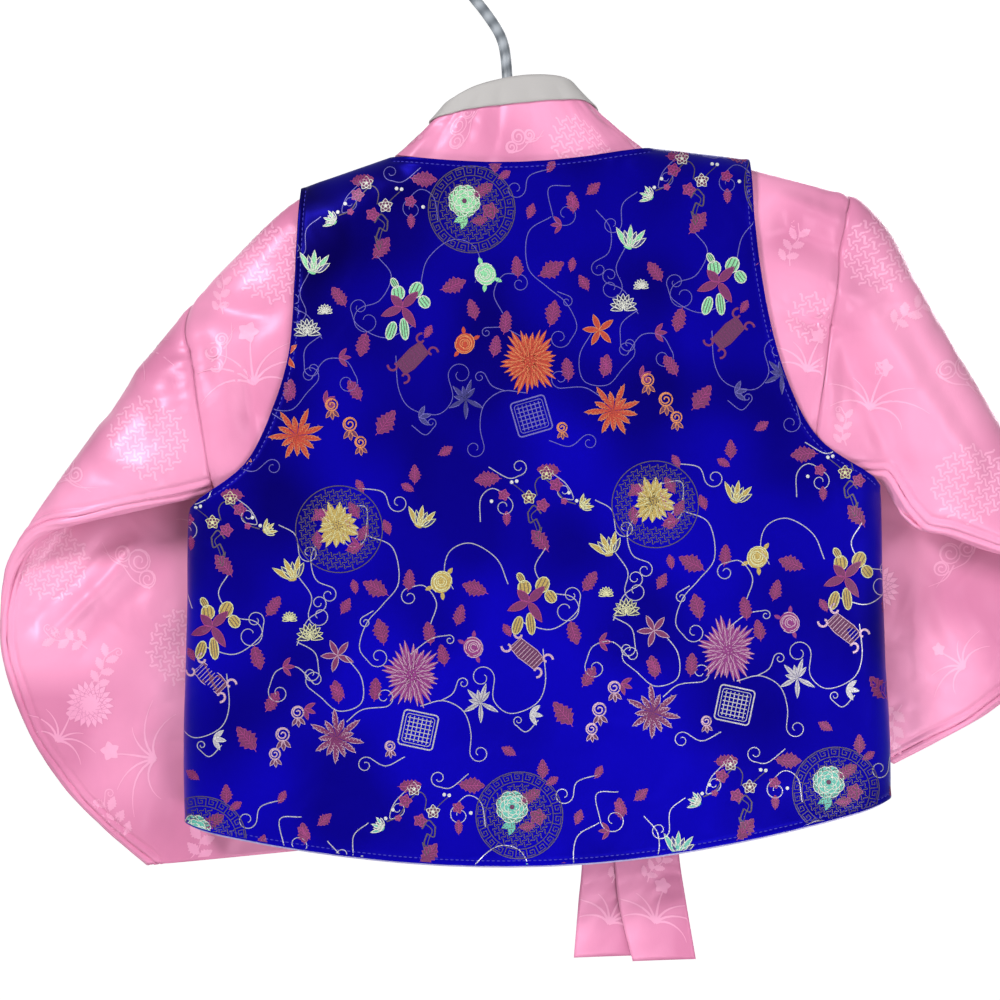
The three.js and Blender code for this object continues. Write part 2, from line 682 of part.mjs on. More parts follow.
// The arms: one rod along both shoulders, rising to the hub between them.
function hangerArms() {
  const under = JACKET_WALL / 2 + SEAM_GAP + ARM_RADIUS + 1.2;
  const shoulder = (x) => new THREE.Vector3(x, 0, shoulderZ(x) - under);
  const path = new THREE.CatmullRomCurve3([
    shoulder(-ARM_HALF_SPAN),
    shoulder(-102),
    shoulder(-90),
    new THREE.Vector3(-64, 0, -8),
    new THREE.Vector3(-30, 0, HUB_Z - 6),
    new THREE.Vector3(HOOK_X, 0, HUB_Z),
    new THREE.Vector3(24, 0, HUB_Z - 5),
    new THREE.Vector3(62, 0, -8.5),
    shoulder(90),
    shoulder(102),
    shoulder(ARM_HALF_SPAN),
  ]);
  const section = new THREE.Shape();
  section.absarc(0, 0, ARM_RADIUS, 0, 2 * Math.PI);
  return new THREE.ExtrudeGeometry(section, { steps: 28, curveSegments: 5, extrudePath: path });
}

// ---- assembly ------------------------------------------------------------------------------
const pinkSatin = new THREE.MeshStandardMaterial({ color: 0xf0a0bf, roughness: 0.4 });
const blueBrocade = new THREE.MeshStandardMaterial({ color: 0x1408a0, roughness: 0.45 });
const whiteStrip = new THREE.MeshStandardMaterial({ color: 0xc9cac4, roughness: 0.7 });
const whitePlastic = new THREE.MeshStandardMaterial({ color: 0xe8e8e6, roughness: 0.35 });
const wrappedRod = new THREE.MeshStandardMaterial({ color: 0xc4c8d0, roughness: 0.3, metalness: 0.4 });

const garment = new THREE.Group();
garment.position.set(-HOOK_X, 0, -(HOOK_CENTRE_Z + HOOK_RADIUS - ROD_RADIUS));

function add(name, geometry, material, place = [0, 0, 0]) {
  const mesh = new THREE.Mesh(geometry, material);
  mesh.name = name;
  mesh.position.set(...place);
  garment.add(mesh);
}

add("hanger_hook", hangerHook(), wrappedRod);
add("hanger_arms", hangerArms(), whitePlastic);
add("jacket_back", jacketBack(), pinkSatin);
add("jacket_front_left", jacketFront("left"), pinkSatin);
add("jacket_front_right", jacketFront("right"), pinkSatin);
add("sleeve_left", sleeve("left"), pinkSatin);
add("sleeve_right", sleeve("right"), pinkSatin);
add("collar_band", collarBand(), pinkSatin);
add("collar_strip", collarStrip(), whiteStrip);
add("ribbon_knot", ribbonKnot(), pinkSatin, [KNOT.x, KNOT.y, KNOT.z]);
add("ribbon_loop", ribbonLoop(), pinkSatin);
for (const [name, rows] of Object.entries(TAILS)) add(name, ribbonTail(rows), pinkSatin);
add("vest_back", vestBack(), blueBrocade);
add("vest_front_left", vestFront("left"), blueBrocade);
add("vest_front_right", vestFront("right"), blueBrocade);

const hanbok = new THREE.Group();
hanbok.add(garment);

export default hanbok;
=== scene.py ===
import math

import bpy
import numpy as np
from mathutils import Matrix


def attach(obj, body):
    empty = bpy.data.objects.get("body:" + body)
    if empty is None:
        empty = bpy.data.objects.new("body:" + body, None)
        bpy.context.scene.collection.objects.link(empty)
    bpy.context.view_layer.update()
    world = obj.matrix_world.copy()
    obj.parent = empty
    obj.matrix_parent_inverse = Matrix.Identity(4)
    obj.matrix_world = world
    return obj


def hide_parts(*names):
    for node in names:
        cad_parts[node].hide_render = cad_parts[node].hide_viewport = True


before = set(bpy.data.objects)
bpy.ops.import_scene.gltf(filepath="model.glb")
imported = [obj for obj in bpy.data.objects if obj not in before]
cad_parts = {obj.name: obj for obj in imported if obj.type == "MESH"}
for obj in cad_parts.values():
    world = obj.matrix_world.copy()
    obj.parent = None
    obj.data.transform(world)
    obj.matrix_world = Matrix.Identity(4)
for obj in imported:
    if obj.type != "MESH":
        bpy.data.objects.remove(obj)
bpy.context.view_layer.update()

MM = 0.001
GARMENT_AT = np.array([6.0, 0.0, -131.6])  # the garment's neck level in the row frame, mm


# ---- the cut, in millimetres, as the solids have it -------------------------------------------
JACKET_WALL = 1.5  # each cloth's thickness with its lining
VEST_WALL = 1.6
BAND_WALL = 2.2
STRIP_WALL = 0.8
RIBBON_WALL = 1.4
SEAM_GAP = 0.3  # pieces stop this far from each other
TORSO_DEPTH = 12.5  # half the depth of the hanging body
SLEEVE_DEPTH = 5.5  # and of a sleeve
REACH = 24.0  # how far in from an edge the cloth rounds out to that depth
CLEAR = 0.35  # half the gap in a sewn seam
CREASE_CLEAR = 0.15  # more of it where a seam rolls round the crease
JACKET_HEM_Z = -384.0
VEST_BACK_OVER = 3.6  # the vest's wall outside the jacket's, at the back
VEST_FRONT_OVER = 6.6  # and at the front, over the collar band
VEST_FLARE = 1.5  # the vest stands out this much more at its hem
LAP_LIFT = 2.7  # the left front lies on the right front
STITCH_IN = 3.0  # the vest's stitches run this far inside its edge
ARMHOLE = 171.0
SLEEVE_LENGTH = 338.0


def through(keys, values):
    """A smooth curve through the rows of a table, held level past its ends."""
    keys, values = np.asarray(keys, float), np.asarray(values, float)
    if keys[0] > keys[-1]:
        keys, values = keys[::-1], values[::-1]
    slope = np.gradient(values, keys)
    slope[1:-1] = (values[2:] - values[:-2]) / (keys[2:] - keys[:-2])

    def at(x):
        x = np.clip(x, keys[0], keys[-1])
        i = np.clip(np.searchsorted(keys, x, side="right") - 1, 0, len(keys) - 2)
        span = keys[i + 1] - keys[i]
        t = (x - keys[i]) / span
        return (
            values[i] * (2 * t**3 - 3 * t**2 + 1)
            + slope[i] * span * (t**3 - 2 * t**2 + t)
            + values[i + 1] * (3 * t**2 - 2 * t**3)
            + slope[i + 1] * span * (t**3 - t**2)
        )

    return at


def smooth(start, end, value):
    t = np.clip((value - start) / (end - start), 0, 1)
    return t * t * (3 - 2 * t)


# along, left width, right width of a sleeve under its top edge
SLEEVE_WIDTH = np.array([
    (0, 171, 171), (20, 171.5, 168.5), (42, 173, 166.5), (48, 173.5, 170), (56, 174, 181),
    (68, 174.5, 192.5), (88, 176, 194.5), (112, 178, 200), (160, 190, 205), (200, 194, 210),
    (247, 183, 203), (285, 164, 184), (314, 141, 162), (338, 118, 142),
], float)
# distance down the crease, left and right radius of the soft fold
CREASE_RADIUS = np.array([
    (0, 7, 7), (40, 12, 13), (80, 17.5, 16), (135, 20, 17), (200, 18, 17), (270, 16, 17), (420, 16, 17),
], float)


class Side:
    """One side of the jacket's T-shaped cut; "out" is the distance from the garment's middle."""

    def __init__(self, sign, column, neck, tip, seam_top, slope, crease_from, crease_slope):
        self.sign, self.neck, self.tip, self.seam_top = sign, neck, tip, seam_top
        self.slope, self.crease_from = math.radians(slope), crease_from
        self.crease_slope = math.radians(crease_slope)
        self.width = through(SLEEVE_WIDTH[:, 0], SLEEVE_WIDTH[:, column])
        self.radius = through(CREASE_RADIUS[:, 0], CREASE_RADIUS[:, column])
        self.armpit = self.sleeve_point(0.0, ARMHOLE)
        self.top_line = [neck, tip, seam_top, self.sleeve_point(SLEEVE_LENGTH, 0.0)]
        stations = SLEEVE_LENGTH * np.arange(1, 24) / 23
        self.low_line = [(self.armpit[0] + 3, JACKET_HEM_Z - 40), self.armpit]
        self.low_line += [self.sleeve_point(s, float(self.width(s))) for s in stations]

    def sleeve_point(self, along, down):
        c, s = math.cos(self.slope), math.sin(self.slope)
        return (self.seam_top[0] + along * c - down * s, self.seam_top[1] - along * s - down * c)

    def past_crease(self, out, z):
        x, h = out - self.crease_from[0], z - self.crease_from[1]
        c, s = math.cos(self.crease_slope), math.sin(self.crease_slope)
        return x * s + h * c, x * c - h * s

    def fold(self, out, y, z):
        past, down = self.past_crease(out, z)
        radius = self.radius(np.clip(down, 0, 420))
        turn = np.clip(past / radius, 0, math.pi)
        straight = past - turn * radius
        moved = np.where(past > 0, (radius - y) * np.sin(turn) - straight - past, 0)
        rolled = np.where(past > 0, radius - (radius - y) * np.cos(turn), y)
        c, s = math.cos(self.crease_slope), math.sin(self.crease_slope)
        return self.sign * (out + moved * s), rolled, z + moved * c


LEFT = Side(-1, 1, (77, -2), (131, -19), (212, -27), 7, (124, -24), 50.4)
RIGHT = Side(1, 2, (79, -3), (138, -12), (198, -30), 10, (182, -14), 62.5)


def distance(x, z, line):
    least = np.full(np.shape(x), np.inf)
    for (ax, az), (bx, bz) in zip(line, line[1:]):
        dx, dz = bx - ax, bz - az
        t = np.clip(((x - ax) * dx + (z - az) * dz) / (dx * dx + dz * dz), 0, 1)
        least = np.minimum(least, np.hypot(x - ax - t * dx, z - az - t * dz))
    return least


def round_out(gap):
    inside = 1 - np.clip(gap / REACH, 0, 1)
    return np.sqrt(1 - inside * inside)


def per_side(x, left, right):
    return np.where(x < 0, left, right)


def full_depth(side, out, z):
    past, _ = side.past_crease(out, z)
    return TORSO_DEPTH + (SLEEVE_DEPTH - TORSO_DEPTH) * smooth(-30, 22, past)


def depth_on(side, other, out, z):
    top = np.minimum(distance(out, z, side.top_line), distance(-out, z, other.top_line))
    low = distance(out, z, side.low_line)
    extra = CREASE_CLEAR * smooth(-10, 10, side.past_crease(out, z)[0])
    return full_depth(side, out, z) * round_out(top) * round_out(low) + CLEAR + extra


def jacket_depth(x, z):
    out = np.abs(x)
    return per_side(x, depth_on(LEFT, RIGHT, out, z), depth_on(RIGHT, LEFT, out, z))


def lap_lift(x):
    return LAP_LIFT * smooth(-95, -58, x)


def folded(x, y, z):
    out = np.abs(x)
    left, right = LEFT.fold(out, y, z), RIGHT.fold(out, y, z)
    return np.stack([per_side(x, a, b) for a, b in zip(left, right)], axis=-1)


def shoulder_z(x):
    out = np.abs(x)

    def line(side):
        return np.interp(out, [side.neck[0], side.tip[0], side.seam_top[0]],
                         [side.neck[1], side.tip[1], side.seam_top[1]])

    return per_side(x, line(LEFT), line(RIGHT))


# z, left half width, right half width of the vest
VEST_EDGE = np.array([
    (-8, 131.5, 139), (-40, 134.5, 139.5), (-76, 137.5, 142.5), (-106, 140.5, 147), (-126, 145, 151.5),
    (-145, 152, 157.5), (-165, 161, 166), (-180, 171, 177), (-191, 185, 192), (-198, 197, 203.5),
    (-204, 204.5, 210), (-208, 206.5, 211), (-266, 209.5, 210.5), (-314, 212.5, 210.5),
    (-350, 214.5, 211.5), (-394, 215.5, 211),
], float)
# z, inner edge of the left and right vest front
VEST_OPENING = np.array([
    (4, -77, 80), (-60, -62, 66), (-120, -42, 53), (-175, -25, 41), (-215, -22, 38), (-420, -20, 41),
], float)
VEST_TIP_Z = {-1: -14.5, 1: -6.5}
VEST_NECK_X = {-1: -77.0, 1: 80.0}
VEST_NECK_Z = 2.5
VEST_DIP = 7.0
VEST_CORNER_Z = -394.0
HEM_DROP = {-1: 32.0, 1: 23.0}
vest_edge = {s: through(VEST_EDGE[:, 0], VEST_EDGE[:, 1 if s < 0 else 2]) for s in (-1, 1)}
vest_opening = {s: through(VEST_OPENING[:, 0], VEST_OPENING[:, 1 if s < 0 else 2]) for s in (-1, 1)}
vest_tip = {s: float(vest_edge[s](VEST_TIP_Z[s])) for s in (-1, 1)}


def vest_top_z(x):
    share = (x - VEST_NECK_X[-1]) / (VEST_NECK_X[1] - VEST_NECK_X[-1])
    neck = VEST_NECK_Z - VEST_DIP * np.sin(np.pi * np.clip(share, 0, 1))
    line = []
    for s in (-1, 1):
        t = (np.abs(x) - abs(VEST_NECK_X[s])) / (vest_tip[s] - abs(VEST_NECK_X[s]))
        line.append(VEST_NECK_Z + (VEST_TIP_Z[s] - VEST_NECK_Z) * t)
    shoulder = per_side(x, *line)
    return np.where((share > 0) & (share < 1), neck, shoulder)


def vest_hem_z(x, drop):
    tip = per_side(x, vest_tip[-1], vest_tip[1])
    share = np.cos(np.pi / 2 * np.minimum(np.abs(x) / tip, 1)).clip(0) ** 0.85
    return VEST_CORNER_Z - drop * share


def top_over(x, opening):
    """Where the column of a vest panel that meets the hem at x starts on its top edge."""
    tops = []
    for s in (-1, 1):
        corner = s * vest_edge[s](VEST_CORNER_Z)
        far = vest_opening[s](VEST_CORNER_Z) if opening else 0.0
        far_top = vest_opening[s](VEST_NECK_Z) if opening else 0.0
        share = (x - corner) / (far - corner)
        tops.append(s * vest_tip[s] + (far_top - s * vest_tip[s]) * share)
    return per_side(x, *tops)


def vest_hem_at(x, face):
    return vest_hem_z(top_over(x, face > 0), HEM_DROP[face])


ARMHOLE_LINE = {
    s: [(float(vest_edge[s](h)), h) for h in np.linspace(VEST_TIP_Z[s], -204, 26)]
    for s in (-1, 1)
}


def vest_rim(x, z, face):
    """How far flat x, z lies inside the vest's hem, neck, armholes and front opening."""
    rim = z - vest_hem_at(x, face)
    rim = np.minimum(rim, per_side(x, *(distance(np.abs(x), z, ARMHOLE_LINE[s]) for s in (-1, 1))))
    if face > 0:
        return np.minimum(rim, per_side(x, vest_opening[-1](z) - x, x - vest_opening[1](z)))
    in_neck = (x > VEST_NECK_X[-1]) & (x < VEST_NECK_X[1])
    return np.where(in_neck, np.minimum(rim, vest_top_z(x) - z), rim)


def vest_depth(x, z, over):
    out = np.abs(x)
    parts = []
    for s, side in ((-1, LEFT), (1, RIGHT)):
        tops = {k: [(abs(VEST_NECK_X[k]), VEST_NECK_Z), (vest_tip[k], VEST_TIP_Z[k])] for k in (-1, 1)}
        top = np.minimum(distance(out, z, tops[s]), distance(-out, z, tops[-s]))
        rows = VEST_EDGE[VEST_EDGE[:, 0] < -206]
        line = [(row[1 if s < 0 else 2], row[0]) for row in rows]
        low = distance(out, z, line + [(line[-1][0], -500)])
        full = full_depth(side, out, z) + over + VEST_FLARE * smooth(200, -VEST_CORNER_Z, -z)
        parts.append(full * round_out(top) * round_out(low) + CLEAR)
    return per_side(x, *parts)


# ---- cloth: a surface over the flat cut, with its hanging folds ------------------------------


def no_relief(x, z):
    return np.zeros(np.shape(x))


class Cloth:
    """Cloth over flat x, z: "face" is -1 at the back and 1 at the front, relief its soft folds."""

    def __init__(self, face, base, relief=no_relief):
        self.face, self.base, self.relief = face, base, relief

    def at(self, x, z, lift=0.0):
        step = 0.4
        point = self.base(x, z)
        across = self.base(x + step, z) - self.base(x - step, z)
        up = self.base(x, z + step) - self.base(x, z - step)
        normal = np.cross(across, up) * -self.face
        normal /= np.maximum(np.linalg.norm(normal, axis=-1, keepdims=True), 1e-9)
        return point + normal * (self.relief(x, z) + lift)[..., None]


def spread(count, ends=1.0):
    """Shares 0..1, close together at both ends where the cloth turns round a seam."""
    t = np.linspace(0, 1, count + 1)
    return t - ends * np.sin(2 * np.pi * t) / (2 * np.pi)


def grid_normals(p, wrap=False):
    if wrap:
        across = np.roll(p, -1, axis=1) - np.roll(p, 1, axis=1)
    else:
        across = np.gradient(p, axis=1)
    n = np.cross(across, np.gradient(p, axis=0))
    return n / np.maximum(np.linalg.norm(n, axis=-1, keepdims=True), 1e-9)


def wall_mesh(name, points, flat, thickness, materials, wrap=False, outward=1):
    """A closed wall on both sides of a grid of points; the outer side has the first material."""
    rows, columns = points.shape[:2]
    n = grid_normals(points, wrap) * outward
    outer, inner = points + n * thickness / 2, points - n * thickness / 2
    verts = np.concatenate([outer.reshape(-1, 3), inner.reshape(-1, 3)]) + GARMENT_AT
    ids = np.arange(rows * columns).reshape(rows, columns)
    if wrap:
        ids = np.concatenate([ids, ids[:, :1]], axis=1)
    other = ids + rows * columns
    a, b, c, d = ids[:-1, :-1], ids[:-1, 1:], ids[1:, 1:], ids[1:, :-1]
    e, f, g, h = other[:-1, :-1], other[:-1, 1:], other[1:, 1:], other[1:, :-1]
    quads = [np.stack([a, b, c, d], -1).reshape(-1, 4), np.stack([e, h, g, f], -1).reshape(-1, 4)]
    quads.append(np.stack([ids[0, :-1], other[0, :-1], other[0, 1:], ids[0, 1:]], -1))
    quads.append(np.stack([ids[-1, 1:], other[-1, 1:], other[-1, :-1], ids[-1, :-1]], -1))
    if not wrap:
        quads.append(np.stack([ids[1:, 0], other[1:, 0], other[:-1, 0], ids[:-1, 0]], -1))
        quads.append(np.stack([ids[:-1, -1], other[:-1, -1], other[1:, -1], ids[1:, -1]], -1))
    faces = np.concatenate(quads)
    if outward < 0:
        faces = faces[:, ::-1]
    mesh = bpy.data.meshes.new(name)
    mesh.from_pydata((verts * MM).tolist(), [], faces.tolist())
    uv = mesh.uv_layers.new(name="flat_cut")
    coords = np.concatenate([flat.reshape(-1, 2)] * 2) * MM
    loops = np.empty(len(mesh.loops), int)
    mesh.loops.foreach_get("vertex_index", loops)
    uv.data.foreach_set("uv", coords[loops].ravel())
    for material in materials:
        mesh.materials.append(material)
    index = np.zeros(len(faces), int)
    index[len(quads[0]):len(quads[0]) + len(quads[1])] = len(materials) - 1
    mesh.polygons.foreach_set("material_index", index)
    mesh.polygons.foreach_set("use_smooth", np.arange(len(faces)) < 2 * len(quads[0]))
    piece = bpy.data.objects.new(name, mesh)
    bpy.context.scene.collection.objects.link(piece)
    return piece


def settle(piece, slot, *nodes):
    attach(piece, "root")
    if nodes:
        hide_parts(*nodes)
    return piece


def flat_panel(half_columns, rows, edge_x, far_x, top_z, hem_z):
    """Flat x, z of one side of a panel: share across from its side seam, share down from its top."""
    s, d = np.meshgrid(half_columns, rows)
    start_top = edge_x(np.zeros(1))[0]
    top_x = start_top + (far_x(np.zeros(1))[0] - start_top) * s
    x = edge_x(d) + (far_x(d) - edge_x(d)) * s
    z = top_z(top_x) + (hem_z(top_x) - top_z(top_x)) * d
    return x, z


# ---- materials ---------------------------------------------------------------------------------


def linear(hex_colour):
    parts = [int(hex_colour[i:i + 2], 16) / 255 for i in (1, 3, 5)]
    return [c / 12.92 if c <= 0.04045 else ((c + 0.055) / 1.055) ** 2.4 for c in parts] + [1.0]


def new_material(name):
    material = bpy.data.materials.new(name)
    material.use_nodes = True
    tree = material.node_tree
    return material, tree, tree.nodes["Principled BSDF"]


def node(tree, kind, settings=None, links=None, values=None):
    """Adds a node with its settings, its linked inputs and its plain input values."""
    made = tree.nodes.new(kind)
    for key, value in (settings or {}).items():
        setattr(made, key, value)
    for key, value in (values or {}).items():
        made.inputs[key].default_value = value
    for key, socket in (links or {}).items():
        tree.links.new(socket, made.inputs[key])
    return made


COLOUR_A, COLOUR_B, MIXED = 6, 7, 2  # the colour sockets of a mix node


def painted_shade_share(tree, flat, shaded_top_and_sides):
    """How far each spot goes to its cloth's dusk colour, a painted shade: in wide soft patches, and with
    shaded_top_and_sides also towards the top and the sides of the cut."""
    patch = node(tree, "ShaderNodeTexNoise", links={"Vector": flat.outputs[0]},
                 values={"Scale": 11.0, "Detail": 1.0})
    low, high = (0.12, 0.72) if shaded_top_and_sides else (0.0, 1.0)
    share = node(tree, "ShaderNodeMapRange", links={"Value": patch.outputs["Fac"]},
                 values={"From Min": 0.36, "From Max": 0.6, "To Min": low, "To Max": high})
    if not shaded_top_and_sides:
        return share.outputs[0]
    split = node(tree, "ShaderNodeSeparateXYZ", links={"Vector": flat.outputs[0]})
    down = node(tree, "ShaderNodeMapRange", links={"Value": split.outputs["Y"]},
                values={"From Min": -0.02, "From Max": -0.33, "To Min": -0.06, "To Max": 0.5})
    out = node(tree, "ShaderNodeMath", {"operation": "ABSOLUTE"}, {0: split.outputs["X"]})
    side = node(tree, "ShaderNodeMapRange", links={"Value": out.outputs[0]},
                values={"From Min": 0.05, "From Max": 0.22, "To Min": 0.0, "To Max": -0.34})
    fall = node(tree, "ShaderNodeMath", {"operation": "ADD"}, {0: down.outputs[0], 1: side.outputs[0]})
    both = node(tree, "ShaderNodeMath", {"operation": "ADD", "use_clamp": True},
                {0: fall.outputs[0], 1: share.outputs[0]})
    return both.outputs[0]


def satin(name, colour, shade, gloss, roughness, sheen=0.2, thread_mm=0.45, dusk=None, shaded_top_and_sides=False,
          dents=0.0):
    """Satin weave: long floats that catch the light along one direction, with slight slubs. With dusk,
    wide soft patches fall to that colour, a painted shade, and with shaded_top_and_sides the top and
    sides of the cut as well. dents is the depth, in mm, of the slight unevenness that makes the gloss wander."""
    material, tree, shader = new_material(name)
    flat = node(tree, "ShaderNodeUVMap", {"uv_map": "flat_cut"})
    grain = node(tree, "ShaderNodeMapping", links={"Vector": flat.outputs[0]},
                 values={"Scale": (1000 / thread_mm, 1000 / thread_mm / 9, 1)})
    slub = node(tree, "ShaderNodeTexNoise", links={"Vector": grain.outputs[0]},
                values={"Scale": 1.0, "Detail": 2.0})
    cloud = node(tree, "ShaderNodeTexNoise", links={"Vector": flat.outputs[0]},
                 values={"Scale": 9.0, "Detail": 2.0})
    tone = node(tree, "ShaderNodeMix", {"data_type": "RGBA"}, {"Factor": cloud.outputs["Fac"]},
                {COLOUR_A: linear(colour), COLOUR_B: linear(shade)})
    ground = tone.outputs[MIXED]
    if dusk:
        over = node(tree, "ShaderNodeMix", {"data_type": "RGBA"},
                    {"Factor": painted_shade_share(tree, flat, shaded_top_and_sides), COLOUR_B: ground}, {COLOUR_A: linear(dusk)})
        ground = over.outputs[MIXED]
    tree.links.new(ground, shader.inputs["Base Color"])
    height = node(tree, "ShaderNodeBump", links={"Height": slub.outputs["Fac"]},
                  values={"Strength": 0.12, "Distance": 0.3 * MM})
    if dents:
        dent = node(tree, "ShaderNodeTexNoise", links={"Vector": flat.outputs[0]},
                    values={"Scale": 24.0, "Detail": 1.5, "Distortion": 0.6})
        uneven = node(tree, "ShaderNodeBump", links={"Height": dent.outputs["Fac"]},
                      values={"Strength": 1.0, "Distance": dents * MM})
        tree.links.new(uneven.outputs[0], height.inputs["Normal"])
    tree.links.new(height.outputs[0], shader.inputs["Normal"])
    for finish, value in (("Roughness", roughness), ("Sheen Weight", sheen), ("Sheen Roughness", 0.4),
                          ("Sheen Tint", linear(gloss)), ("Specular Tint", linear(gloss))):
        shader.inputs[finish].default_value = value
    return material


# each dusk colour is painted shade: the satin darkens to it in wide soft patches
pink_satin = satin("pink_satin_damask", "#ec9cc0", "#e492b6", "#ffc8e6", 0.35, sheen=0.25,
                   dusk="#c6769a", dents=5.5)
pink_lining = satin("pink_lining", "#e9b3c6", "#e0a8bc", "#ffffff", 0.5)
# the damask's floats are a little glossier than their ground; their paler colour is a painted sheen
pink_float = satin("pink_damask_float", "#f6b2d0", "#f0aaca", "#ffd4e8", 0.32, sheen=0.3,
                   dusk="#dc94b6", dents=5.5)
pink_outline = satin("pink_damask_outline", "#cf82a6", "#c67a9e", "#ffb4d8", 0.5)
# the blue's dusk is painted shade, in patches and darker towards the top and sides of the cut
blue_satin = satin("royal_blue_satin", "#0b04aa", "#070380", "#2418ff", 0.38, sheen=0.1,
                   dusk="#05013c", shaded_top_and_sides=True, dents=3.0)
blue_lining = satin("lavender_lining", "#a9a4dc", "#9c96d2", "#ffffff", 0.5)
lining_lip = satin("lavender_lining_edge", "#b9b2dd", "#a59fce", "#ffffff", 0.5)
# the strip is white cotton, coloured grey here: painted shade
white_cotton = satin("white_collar_strip", "#aaa7a6", "#a29f9e", "#ffffff", 0.7, thread_mm=0.35)


def plain(name, colour, roughness, metal=0.0):
    material, _, shader = new_material(name)
    shader.inputs["Base Color"].default_value = linear(colour)
    shader.inputs["Roughness"].default_value = roughness
    shader.inputs["Metallic"].default_value = metal
    return material


# ---- folds of the hanging cloth ------------------------------------------------------------------


def trough(x, z, start, end, width, depth):
    """One soft crease from start to end: depth under zero is a trough, over zero a ridge."""
    (ax, az), (bx, bz) = start, end
    dx, dz = bx - ax, bz - az
    length = math.hypot(dx, dz)
    t = ((x - ax) * dx + (z - az) * dz) / (length * length)
    off = ((x - ax) * dz - (z - az) * dx) / length
    ends = smooth(-0.1, 0.25, t) * (1 - smooth(0.7, 1.1, t))
    return depth * np.exp(-((off / width) ** 2)) * ends


def creases(rows):
    def relief(x, z):
        total = np.zeros(np.shape(x))
        for start, end, width, depth in rows:
            total = total + trough(x, z, start, end, width, depth)
        return total

    return relief


# start, end, half width and depth (ridge over zero, trough under) of each fold, in the flat cut, mm
BACK_FOLDS = [
    ((-188, -107), (-216, -115), 2.4, -2.2), ((-184, -118), (-212, -125), 2.2, -1.8),
    ((-184, -100), (-181, -188), 11, 3.6), ((-167, -110), (-165, -168), 5, -2.8),
    ((-204, -80), (-148, -93), 9, -4.2), ((-238, -116), (-202, -168), 10, 2.8),
    ((-226, -110), (-214, -136), 6, 1.1), ((-250, -170), (-300, -222), 12, -1.4),
    ((-262, -150), (-232, -128), 9, -1.6), ((-215, -168), (-250, -196), 9, 1.2),
    ((-330, -120), (-420, -190), 16, 2.6), ((-350, -170), (-440, -210), 12, -2.4),
    ((-400, -90), (-500, -150), 18, -2.2), ((-460, -80), (-540, -120), 14, 2.0),
    ((150, -46), (206, -72), 9, -4.6), ((148, -28), (200, -50), 6, 2.2),
    ((156, -72), (208, -100), 9, 3.4), ((150, -92), (182, -114), 5, -2.6),
    ((166, -103), (198, -113), 3.0, -2.2), ((184, -102), (236, -226), 10, -6.0),
    ((196, -92), (280, -222), 12, 5.0), ((176, -120), (184, -182), 5, 2.0),
    ((226, -60), (300, -160), 10, -2.6), ((244, -60), (330, -170), 12, 2.4),
    ((230, -90), (300, -190), 12, -1.6), ((360, -110), (440, -200), 18, 2.6),
    ((400, -100), (470, -170), 14, -2.4), ((460, -120), (520, -190), 16, 2.0),
    ((-60, -60), (-70, -330), 30, -1.0), ((50, -80), (60, -340), 34, 1.0),
]
FRONT_FOLDS = [
    ((-392, -228), (-336, -136), 5, 3.2), ((-376, -232), (-328, -152), 7, -3.4),
    ((-402, -212), (-350, -128), 8, -2.2), ((-420, -200), (-380, -120), 14, 1.8),
    ((-445, -170), (-526, -188), 6, 1.5), ((-448, -150), (-530, -166), 6, -1.3),
    ((-438, -192), (-504, -206), 6, -1.4), ((-455, -120), (-535, -130), 9, 1.3),
    ((386, -170), (432, -232), 10, -3.6), ((424, -156), (446, -240), 14, 2.8),
    ((452, -160), (486, -210), 12, -2.6), ((480, -170), (520, -220), 10, 1.4),
    ((-60, -70), (-110, -330), 22, -1.2), ((-20, -200), (-30, -384), 16, 1.2),
    ((90, -90), (120, -330), 24, 1.2), ((40, -190), (50, -384), 18, -1.2),
    ((140, -60), (176, -120), 12, -1.6), ((-140, -70), (-176, -130), 12, -1.6),
]
VEST_BACK_FOLDS = [
    ((-70, -30), (-58, -330), 38, -1.4), ((30, -60), (26, -360), 30, 1.3), ((96, -80), (104, -380), 30, -1.3),
    ((-128, -22), (-66, -70), 10, 1.0), ((-134, -60), (-80, -90), 14, -1.0), ((136, -18), (84, -60), 12, 0.9),
    ((-180, -205), (-110, -250), 16, 1.0), ((184, -205), (120, -245), 16, 1.0),
    ((-160, -260), (-150, -400), 18, 1.1), ((165, -260), (150, -400), 18, 1.1),
]
VEST_FRONT_FOLDS = [
    ((-110, -40), (-130, -360), 28, 1.3), ((-60, -120), (-66, -400), 18, -1.2),
    ((110, -40), (130, -360), 28, 1.3), ((70, -120), (74, -400), 18, -1.2),
    ((-184, -206), (-120, -240), 14, 0.9), ((186, -206), (124, -240), 14, 0.9),
]
back_folds, front_folds = creases(BACK_FOLDS), creases(FRONT_FOLDS)


def ridge(gap, at, width):
    """A soft ridge of height 1 along every place whose gap is "at"."""
    return np.exp(-(((gap - at) / width) ** 2))


def seam_lips(x, z):
    """The underarm seam of a sleeve is rolled into two soft lips, with a furrow beside each."""
    out = np.abs(x)
    wobble = 0.5 * np.sin(x / 9) + 0.3 * np.sin(z / 5 + x / 23)
    gap = per_side(x, distance(out, z, LEFT.low_line), distance(out, z, RIGHT.low_line)) + wobble
    past_seam = smooth(178, 205, out)
    lip = 0.9 * ridge(gap, 2.2, 1.0) - 0.9 * ridge(gap, 4.2, 0.8)
    second = ridge(gap, 6.0, 0.9) - 1.3 * ridge(gap, 8.6, 1.3)
    return (lip + second * (0.75 + 0.25 * np.sin(x / 17))) * past_seam


